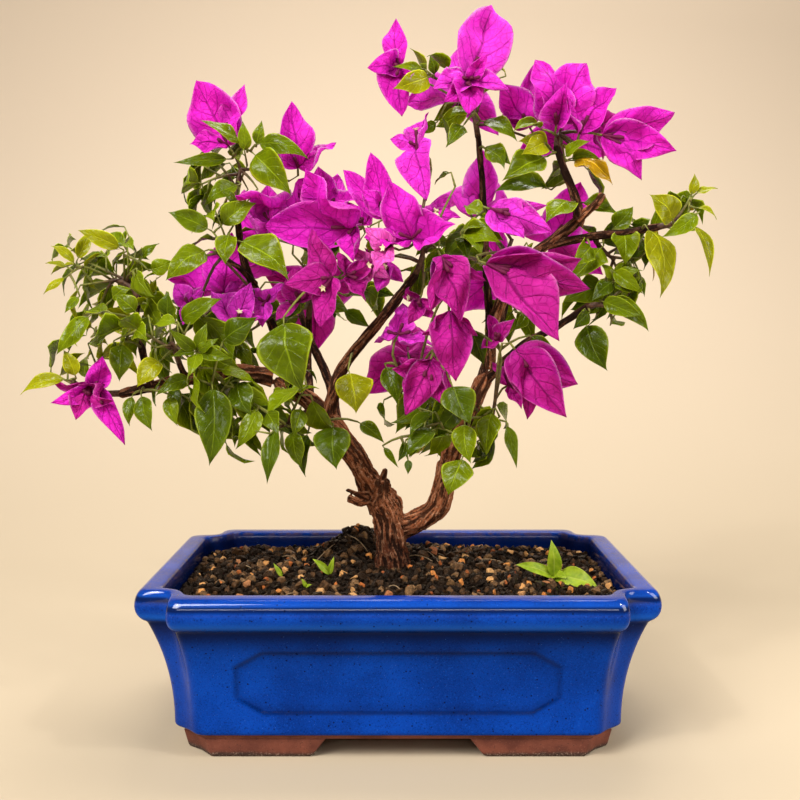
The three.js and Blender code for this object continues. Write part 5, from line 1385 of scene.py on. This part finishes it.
# The leaves, egg shaped with a drawn-out tip, folded a little along the midrib and glossy above.
# They sit one by one on short stalks, deep green inside the crown and lime or yellow at the young ends.
LEAF_ROWS = (0.01, 0.08, 0.2, 0.36, 0.54, 0.72, 0.87, 0.95)
LARGE_LEAF_ROWS = (0.005, 0.04, 0.1, 0.18, 0.27, 0.36, 0.46, 0.56, 0.66, 0.75, 0.83, 0.9, 0.96)
LEAF_SIDES = (-1, -0.86, 0, 0.86, 1)
LARGE_LEAF_SIDES = (-1, -0.93, -0.6, -0.3, 0, 0.3, 0.6, 0.93, 1)
LEAF_SEED = 5001
LEAF_STALK, LEAF_BLADE = 0.10, 0.91  # shares of a leaf's length
LARGE_LEAF_HOOK, LARGE_LEAF_HALF = 0.35, 0.93  # how much straighter and slimmer large leaves are
LEAF_TINTS = {
    "deep": (0.046, 0.070, 0.001),
    "mid": (0.074, 0.103, 0.001),
    "fresh": (0.106, 0.140, 0.001),
    "young": (0.20, 0.20, 0.002),
    "turning": (0.33, 0.18, 0.003),
}
SHOOT_TINTS = {  # how often a spray takes each tint
    "left_tip": {"young": 0.5, "fresh": 0.4, "mid": 0.1},
    "left_upper": {"young": 0.45, "fresh": 0.4, "mid": 0.15},
    "right_tip": {"young": 0.6, "fresh": 0.35, "turning": 0.05},
    "top": {"fresh": 0.6, "young": 0.2, "mid": 0.2},
    "left_crown": {"mid": 0.5, "fresh": 0.5},
    "left_front": {"mid": 0.4, "fresh": 0.4, "young": 0.2},
    "left_rear": {"mid": 0.5, "fresh": 0.4, "deep": 0.1},
    "left_whorl": {"fresh": 0.5, "mid": 0.4, "deep": 0.1},
}
INNER_TINTS = {"deep": 0.34, "mid": 0.4, "fresh": 0.24, "turning": 0.02}


def blade_width(share, swell, draw_out):
    """The width of a blade along its length, as a share of its widest."""
    widest = swell / (swell + draw_out)
    return share**swell * (1 - share) ** draw_out / (widest**swell * (1 - widest) ** draw_out)


def blade_shape(blade, rows, sides, form, phase):
    """A thin closed blade, a little crumpled: its upper face, its under face, and the tip they share."""
    length, half, face, along = blade["length"], blade["half"], blade["face"], blade["along"]
    across = np.cross(face, along)
    t = np.linspace(0, 1, 33)
    turn = blade["curl"] * t + form["hook"] * np.maximum(0, t - 0.6) ** 2
    step = (turn[1:] + turn[:-1]) / 2
    ahead = np.concatenate([[0], np.cumsum(np.cos(step))]) * length / 32
    down = np.concatenate([[0], np.cumsum(np.sin(step))]) * length / 32
    upper, under, where = [], [], []
    for share in rows:
        bend = np.interp(share, t, turn)
        up = face * math.cos(bend) + along * math.sin(bend)
        spine = blade["base"] + along * np.interp(share, t, ahead) - face * np.interp(share, t, down)
        spine = spine + across * form["sway"] * length * share**3
        width = blade_width(share, *form["outline"]) * half
        for side in sides:
            off = side * width
            lift = abs(off) * form["fold"] + form["cup"] * off * off / half
            lift += form["wave"] * width * side * side * math.sin(phase + 9 * share + 2.2 * np.sign(side))
            crumple = noise.noise(Vector((side * 1.1 + phase * 7, share * 2.6, phase)))
            lift += form["crumple"] * width * crumple
            swell = up * form["thick"] / 2 * (1 - side * side)
            middle = spine + up * lift + across * off * (1 - 0.5 * form["cup"] * abs(side))
            upper.append(middle + swell)
            where.append((side, share, phase))
            if abs(side) < 1:
                under.append(middle - swell)
    tip = blade["base"] + along * ahead[-1] - face * down[-1] + across * form["sway"] * length
    inner = [w for w in where if abs(w[0]) < 1]
    return upper + under + [tip], where + inner + [(0, 1, phase)]


def blade_faces(rows, columns):
    """The faces of a blade shape, looking outwards."""
    tip = rows * columns + rows * (columns - 2)

    def low(row, column):
        if column in (0, columns - 1):
            return row * columns + column
        return rows * columns + row * (columns - 2) + column - 1

    faces = []
    for row in range(rows - 1):
        for column in range(columns - 1):
            here = row * columns + column
            faces.append((here, here + columns, here + columns + 1, here + 1))
            beneath = ((row, column), (row, column + 1), (row + 1, column + 1), (row + 1, column))
            faces.append([low(*corner) for corner in beneath])
    last = (rows - 1) * columns
    for column in range(columns - 1):
        faces.append((last + column, tip, last + column + 1))
        faces.append((low(rows - 1, column), low(rows - 1, column + 1), tip))
    foot = [low(0, column) for column in range(columns - 2, 0, -1)]
    faces.append([*range(columns), *foot])
    return faces


leaf_faces = blade_faces(len(LEAF_ROWS), len(LEAF_SIDES))
large_leaf_faces = blade_faces(len(LARGE_LEAF_ROWS), len(LARGE_LEAF_SIDES))
leaf_heaps = {tint: Heap() for tint in LEAF_TINTS}


def add_leaf(blade, tint, large, draw):
    """Adds a leaf's blade to its tint, and its stalk to the shoots."""
    stalk = blade["length"] * LEAF_STALK
    foot = blade["base"]
    blade = {**blade, "base": foot + blade["along"] * stalk, "length": blade["length"] * LEAF_BLADE}
    form = {"outline": (0.86, 1.6), "thick": 0.4, "fold": 0.05 + 0.25 * next(draw),
            "cup": 0.3 * next(draw) - 0.12, "wave": 0.10 + 0.2 * next(draw),
            "hook": 0.8 + 2.6 * next(draw), "sway": (next(draw) - 0.5) * 0.36, "crumple": 0.4}
    rows, sides, faces = LEAF_ROWS, LEAF_SIDES, leaf_faces
    if large:
        rows, sides, faces = LARGE_LEAF_ROWS, LARGE_LEAF_SIDES, large_leaf_faces
        form["hook"] *= LARGE_LEAF_HOOK
        blade["half"] *= LARGE_LEAF_HALF
    points, where = blade_shape(blade, rows, sides, form, next(draw) * FULL_TURN)
    leaf_heaps[tint].add(points, faces, blade=where)
    line = bezier(foot, foot + blade["along"] * stalk * 0.6, blade["base"] + blade["along"] * 1.5)
    shoots.add_tube(rings_along(line, (0, 0.5, 1), (0.42, 0.36, 0.3), 4), age=np.array([0.1, 0.05, 0.0]))


draw = seeded(LEAF_SEED)
spray_tint = None
for number, (name, tint, blade) in enumerate(kept_leaves):
    if name and (spray_tint is None or number % 3 == 0):
        pick = next(draw)
        for spray_tint, often in SHOOT_TINTS.get(name, INNER_TINTS).items():
            pick -= often
            if pick < 0:
                break
    add_leaf(blade, tint or spray_tint, name is None, draw)


def blade_marks(place, midrib, pairs, slant, fine, fade):
    """Where a place is on its blade: off the midrib, the blade's number, midrib, ladder and veins."""
    where = place.stored("blade", "Vector")
    side = where.axis("X").sum("ABSOLUTE", where.axis("X"))
    own = where.axis("Z") * 0.159
    ladder = side.sum("SINE", (where.axis("Y") * pairs - side * slant) * FULL_TURN) * 0.5 + 0.5
    return side, own, side.step(*midrib), ladder, ladder.step(fine, 1.0) * side.step(1.0, fade)


for tint, tone in LEAF_TINTS.items():
    leaf, place = surface("leaf_" + tint, {
        "Roughness": 0.3, "Specular IOR Level": 0.13, "Subsurface Weight": 0.25,
        "Subsurface Radius": (0.8, 1.0, 0.2), "Subsurface Scale": 0.0012,
    })
    side, own, rib, ladder, vein = blade_marks(
        place, midrib=(0.07, 0.015), pairs=6, slant=1.7, fine=0.93, fade=0.6
    )
    mottle = place.noise(130, 3, 0.6)
    bright = tuple(c * 1.5 for c in tone)
    dim = tuple(c * 0.6 for c in tone)
    colour = (mottle.step(0.25, 0.75) * 0.55 + own * 0.45).tint(dim, bright)
    pale = tuple(c * 2.3 + lift for c, lift in zip(tone, (0.05, 0.055, 0.006)))
    colour = (side.step(0.86, 0.96) * 0.85).tint(colour, pale)
    colour = (vein * 0.22).tint(colour, pale)
    (rib * 0.6).tint(colour, pale).into("Base Color")
    (mottle * 0.2 + 0.12).into("Roughness")
    blister = place.noise(260, 2, 0.5)
    puckers = mottle * 0.5 + blister * 0.9 - vein * 0.3 - rib * 0.5 - ladder * 0.08
    puckers.bump(0.6, 0.0009).into("Normal")
    piece("leaves_" + tint, leaf_heaps[tint].mesh("leaves_" + tint), leaf, MASS_NODES)
# each leaf has added its own stalk, so the shoots are whole only here
piece("shoots", shoots.mesh("shoots"), shoot, MASS_NODES)

# Seedlings of a soft-leaved weed that came up in the soil, and rootlets of the tree that lie bare on
# it. They stand and lie loose among the top grains.
SEEDLINGS = [  # foot, and each leaf's tip with its half width as a share of its length
    ((83, -12), [(82, -15, 95, 0.19), (106, -26, 73, 0.22), (62, -17, 82, 0.16), (88, -23, 76, 0.25)]),
    ((-36, -19), [(-45, -21, 86, 0.16), (-33, -21, 87, 0.16)]),
    ((-46, -46), [(-48, -47, 82, 0.2), (-43, -49, 79, 0.2)]),
    ((-61, -18), [(-66, -19, 83, 0.15)]),
]
ROOTLETS = [
    [(-66, 30), (-61, 26), (-57, 20)], [(-46, 6), (-41, 14), (-36, 25)],
    [(-58, -60), (-55, -55), (-51, -52)], [(-30, 26), (-24, 24), (-17, 17)],
    [(5, 14), (12, 12), (19, 6)], [(1, -48), (-2, -44), (-6, -46)],
    [(16, 22), (19, 14), (22, 6)], [(44, 18), (52, 14), (60, 16)], [(-90, 12), (-82, 8), (-78, 0)],
]
ROOTLET_LIFTS = (1, 3.8, 1)  # over the soil
SEEDLING_SEED = 61
weeds = Heap()
rootlets = Heap()
draw = seeded(SEEDLING_SEED)
for (x, y), tips in SEEDLINGS:
    foot = np.array([x, y, soil_height(x, y) + 1])
    for *tip, half in tips:
        wish = VIEWER * 0.8 + UP * 0.6
        blade = blade_to(foot, np.array(tip, float), wish, half, 0.5 + 0.4 * next(draw))
        form = {"outline": (0.8, 1.2), "thick": 0.35, "fold": 0.3, "cup": 0.1, "wave": 0.15, "hook": 2,
                "sway": (next(draw) - 0.5) * 0.2, "crumple": 0.3}
        phase = next(draw) * FULL_TURN
        points, where = blade_shape(blade, LARGE_LEAF_ROWS, LARGE_LEAF_SIDES, form, phase)
        weeds.add(points, large_leaf_faces, blade=where)
for path in ROOTLETS:
    line = bezier(*[(x, y, soil_height(x, y) + lift) for (x, y), lift in zip(path, ROOTLET_LIFTS)])
    rootlets.add_tube(rings_along(line, np.linspace(0, 1, 9), np.linspace(0.36, 0.2, 9), 5))
weed, place = surface("seedling_leaf", {
    "Roughness": 0.45, "Specular IOR Level": 0.2, "Subsurface Weight": 0.2,
    "Subsurface Radius": (0.8, 1.0, 0.2), "Subsurface Scale": 0.001,
})
blade = place.stored("blade", "Vector")
rib = blade.axis("X").sum("ABSOLUTE", blade.axis("X")).step(0.1, 0.02)
mottle = place.noise(260, 3, 0.6)
colour = mottle.step(0.3, 0.7).tint((0.17, 0.25, 0.008), (0.30, 0.38, 0.02))
(rib * 0.5).tint(colour, (0.45, 0.50, 0.08)).into("Base Color")
(mottle * 0.5 - rib).bump(0.4, 0.0005).into("Normal")
piece("seedlings", weeds.mesh("seedlings"), weed)
root, place = surface("root_skin", {"Roughness": 0.8, "Specular IOR Level": 0.2})
place.noise(600, 2).tint((0.12, 0.07, 0.035), (0.38, 0.26, 0.14)).into("Base Color")
place.noise(900, 2).bump(0.5, 0.0003).into("Normal")
piece("rootlets", rootlets.mesh("rootlets"), root)

# The blooms: three papery bracts of vivid magenta, netted with darker veins, that stand round the end
# of a stalk. Most low in the crown take a darker copy of the magenta, painted shade, and some others,
# with far ones high up, a lighter copy, painted light. Each carries a small flower on its midrib.
BRACT_ROWS = (0.01, 0.05, 0.1, 0.17, 0.25, 0.33, 0.41, 0.49, 0.57, 0.65, 0.73, 0.81, 0.89, 0.95)
BRACT_SIDES = (-1, -0.95, -0.72, -0.48, -0.24, 0, 0.24, 0.48, 0.72, 0.95, 1)
# besides vivid and blush: a lighter copy of the magenta, painted light, and a darker one, painted shade
BRACT_TINTS = {
    "vivid": (0.66, 0.008, 0.45),
    "light": (0.74, 0.028, 0.55),
    "rose": (0.44, 0.005, 0.23),
    "blush": (0.80, 0.085, 0.47),
}
BRACT_SEED = 9001
LONGEST_TUBE = 12
OPEN_FLOWERS = 0.12
bract_faces = blade_faces(len(BRACT_ROWS), len(BRACT_SIDES))
bract_heaps = {tint: Heap() for tint in BRACT_TINTS}
flowers = []
draw = seeded(BRACT_SEED)
for _, tint, _, _, bracts in blooms:
    for bract in bracts:
        twist = (next(draw) - 0.5) * 0.5
        shaped = {**bract, "face": turned(bract["face"], bract["along"], twist)}
        form = {"outline": (0.64, 1.15), "thick": 0.3, "fold": 0.0, "cup": 0.1 + 0.45 * next(draw),
                "wave": 0.15 + 0.25 * next(draw), "hook": 0.5 + 2.5 * next(draw),
                "sway": (next(draw) - 0.5) * 0.16, "crumple": 0.9}
        points, where = blade_shape(shaped, BRACT_ROWS, BRACT_SIDES, form, next(draw) * FULL_TURN)
        bract_heaps[tint].add(points, bract_faces, blade=where)
        reach = min(bract["length"] * (0.26 + 0.1 * next(draw)), LONGEST_TUBE)
        flowers.append((bract, reach, next(draw) < OPEN_FLOWERS))

for tint, tone in BRACT_TINTS.items():
    bract, place = surface("bract_" + tint, {
        "Roughness": 0.6, "Specular IOR Level": 0.1, "Subsurface Weight": 0.3,
        "Subsurface Radius": (1.0, 0.25, 0.8), "Subsurface Scale": 0.0015,
    })
    side, own, rib, ladder, vein = blade_marks(
        place, midrib=(0.06, 0.01), pairs=5, slant=1.6, fine=0.955, fade=0.7
    )
    net = place.cells(230, "DISTANCE_TO_EDGE").step(0.07, 0.0)
    cloud = place.noise(70, 3, 0.6)
    dim = tuple(c * 0.70 for c in tone)
    bright = tuple(min(1, c * 1.12 + 0.01) for c in tone)
    dark = tuple(c * 0.38 for c in tone)
    edge = tuple(min(1, c * 1.2 + 0.05) for c in tone)
    crinkle = place.noise(380, 3, 0.6)
    colour = (cloud.step(0.3, 0.7) * 0.6 + own * 0.4).tint(dim, bright)
    colour = (side.step(0.84, 0.97) * 0.6).tint(colour, edge)
    colour = (crinkle.step(0.5, 0.3) * 0.35).tint(colour, dim)
    colour = (net * 0.28).tint(colour, dark)
    colour = (vein * 0.5).tint(colour, dark)
    (rib * 0.8).tint(colour, dark).into("Base Color")
    folds = net * 0.4 + vein * 0.8 + rib - cloud * 1.2 - ladder * 0.4 - crinkle * 0.9
    folds.bump(0.7, 0.0009).into("Normal")
    piece("bracts_" + tint, bract_heaps[tint].mesh("bracts_" + tint), bract, MASS_NODES)

# The small true flowers, slender fleshy tubes with a waist, dark maroon, some open to a cream star of
# five points. Each grows on the midrib of its bract, a little over the foot.
TUBE_SHARES = (0, 0.2, 0.5, 0.8, 1)
TUBE_RADII = (0.6, 0.95, 0.75, 1.1, 0.8)
TUBE_RIPE = np.array([0.0, 0.2, 0.5, 0.9, 1.0])
TUBE_OFF, MOUTH_OFF = 0.7, 2.2  # how far foot and mouth stand off the bract
STAR_POINT, STAR_NOTCH, STAR_THROAT = 2.1, 1.1, 0.8
tubes = Heap()
stars = Heap()
for bract, reach, is_open in flowers:
    foot = bract["base"] + bract["face"] * TUBE_OFF
    mouth = foot + bract["along"] * reach + bract["face"] * MOUTH_OFF
    stem = bezier(foot, foot + bract["along"] * reach * 0.6 + bract["face"] * 0.6, mouth)
    tubes.add_tube(rings_along(stem, TUBE_SHARES, TUBE_RADII, 6), ripe=TUBE_RIPE)
    if is_open:
        heading = stem.heading(1)
        spoke = square_to(sideways(heading), heading)
        spokes = [turned(spoke, heading, k * math.pi / 5) for k in range(10)]
        rim = [mouth + heading * (0.9 if k % 2 else 1.3) + way * (STAR_NOTCH if k % 2 else STAR_POINT)
               for k, way in enumerate(spokes)]
        throat = [mouth + way * STAR_THROAT for way in spokes]
        pairs = [(k, (k + 1) % 10) for k in range(10)]
        faces = [(10 + a, 10 + b, b, a) for a, b in pairs]
        faces += [(10 + b, 10 + a, 20) for a, b in pairs]
        faces += [(a, b, 21) for a, b in pairs]
        stars.add([*rim, *throat, mouth - heading * 0.2, mouth + heading * 0.7], faces)

tube, place = surface("flower_tube", {"Roughness": 0.6, "Specular IOR Level": 0.12})
ripe = place.stored("ripe")
colour = place.noise(900, 2).tint((0.07, 0.005, 0.026), (0.19, 0.014, 0.08))
ripe.step(0.6, 1.0).tint(colour, (0.12, 0.014, 0.045)).into("Base Color")
place.noise(900, 2).bump(0.4, 0.0003).into("Normal")
piece("flower_tubes", tubes.mesh("flower_tubes"), tube)
star, place = surface("flower_star", {"Roughness": 0.6, "Specular IOR Level": 0.3})
place.noise(1200, 2).tint((0.62, 0.50, 0.26), (0.84, 0.76, 0.50)).into("Base Color")
place.noise(900, 2).bump(0.3, 0.0003).into("Normal")
piece("flower_stars", stars.mesh("flower_stars", False), star)

# The table and wall, one pale sweep of paper that bends up behind the plant. The pot only stands on it,
# and it isn't part of the plant.
TABLE = -2.4  # its level in the pot's own millimetres
SWEEP_HALF, SWEEP_FRONT, SWEEP_TOP = 2600, -2200, 3200
SWEEP_BEND, SWEEP_RADIUS = 400, 1500
profile = [(SWEEP_FRONT, 0), (SWEEP_BEND, 0)]
for turn in np.linspace(0.05, math.pi / 2, 32):
    profile.append((SWEEP_BEND + SWEEP_RADIUS * math.sin(turn), SWEEP_RADIUS * (1 - math.cos(turn))))
profile.append((SWEEP_BEND + SWEEP_RADIUS, SWEEP_TOP))
points = [(side * SWEEP_HALF, y, z + TABLE) for y, z in profile for side in (-1, 1)]
faces = [(2 * k, 2 * k + 1, 2 * k + 3, 2 * k + 2) for k in range(len(profile) - 1)]
paper, place = surface("pale_paper", {"Roughness": 0.85, "Specular IOR Level": 0.15})
back = place.axis("Y").step(0.2, 2.1)
colour = back.tint((0.49, 0.40, 0.28), (0.86, 0.70, 0.53))
(place.noise(2.5, 2) * 0.1).tint(colour, (0.80, 0.66, 0.50)).into("Base Color")
sweep = bpy.data.objects.new("paper_sweep", mesh_of("paper_sweep", points, faces))
sweep.data.materials.append(paper)
bpy.context.scene.collection.objects.link(sweep)
sweep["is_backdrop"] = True

# Soft studio light: one broad lamp high on the left in front, weaker ones on the right and above, small
# ones and a strip that the glaze and the leaves mirror, one on the wall, and a warm glow all round.
LAMP_TONE, GLINT_TONE = (1.0, 0.98, 0.95), (1.0, 0.99, 0.97)
world = bpy.data.worlds.new("studio")
world.use_nodes = True
world.node_tree.nodes["Background"].inputs["Color"].default_value = (1.0, 0.95, 0.88, 1)
world.node_tree.nodes["Background"].inputs["Strength"].default_value = 0.12
bpy.context.scene.world = world


def lamp(name, place, aim, size, power, colour, width=None):
    """A flat lamp at a place, that shines towards another."""
    data = bpy.data.lights.new(name, "AREA")
    data.shape = "RECTANGLE"
    data.size = size
    data.size_y = width or size
    data.energy = power
    data.color = colour
    made = bpy.data.objects.new(name, data)
    made.location = place
    made.rotation_euler = (Vector(aim) - Vector(place)).to_track_quat("-Z", "Y").to_euler()
    bpy.context.scene.collection.objects.link(made)


lamp("key_lamp", (-0.8, -1.1, 1.3), (0, 0, 0.18), 0.9, 38, LAMP_TONE)
lamp("side_lamp", (1.2, -0.7, 0.8), (0, 0, 0.2), 0.8, 13, LAMP_TONE)
lamp("top_lamp", (0.1, 0.5, 1.4), (0, 0, 0.2), 0.7, 16, LAMP_TONE)
lamp("left_glint", (-0.5, -0.7, 0.9), (0, 0, 0.2), 0.06, 2.5, GLINT_TONE)
lamp("right_glint", (0.6, -0.5, 0.9), (0, 0, 0.2), 0.06, 2.0, GLINT_TONE)
lamp("rim_strip", (0, -1.25, 0.53), (0, -0.1, 0.08), 0.95, 1.8, GLINT_TONE, 0.02)
lamp("wall_lamp", (0.2, 0.9, 1.7), (0, 1.9, 1.2), 0.9, 6.5, LAMP_TONE)
bpy.context.scene.view_settings.view_transform = "Standard"

# The camera, with a short tele lens, about 58 cm before the middle of the pot. It stands a little above
# the middle of the crown and is pitched slightly down.
EYE, PITCH = np.array([0, -0.5769, 0.2108]), 0.0743
lens = bpy.data.cameras.new("camera")
lens.sensor_width = 36
lens.lens = 48.42
lens.shift_x = 0.0025
lens.clip_start = 0.01
camera = bpy.data.objects.new("camera", lens)
camera.location = POT_MIDDLE + EYE
camera.rotation_euler = (math.pi / 2 - PITCH, 0, 0)
bpy.context.scene.collection.objects.link(camera)
bpy.context.scene.camera = camera

low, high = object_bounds()
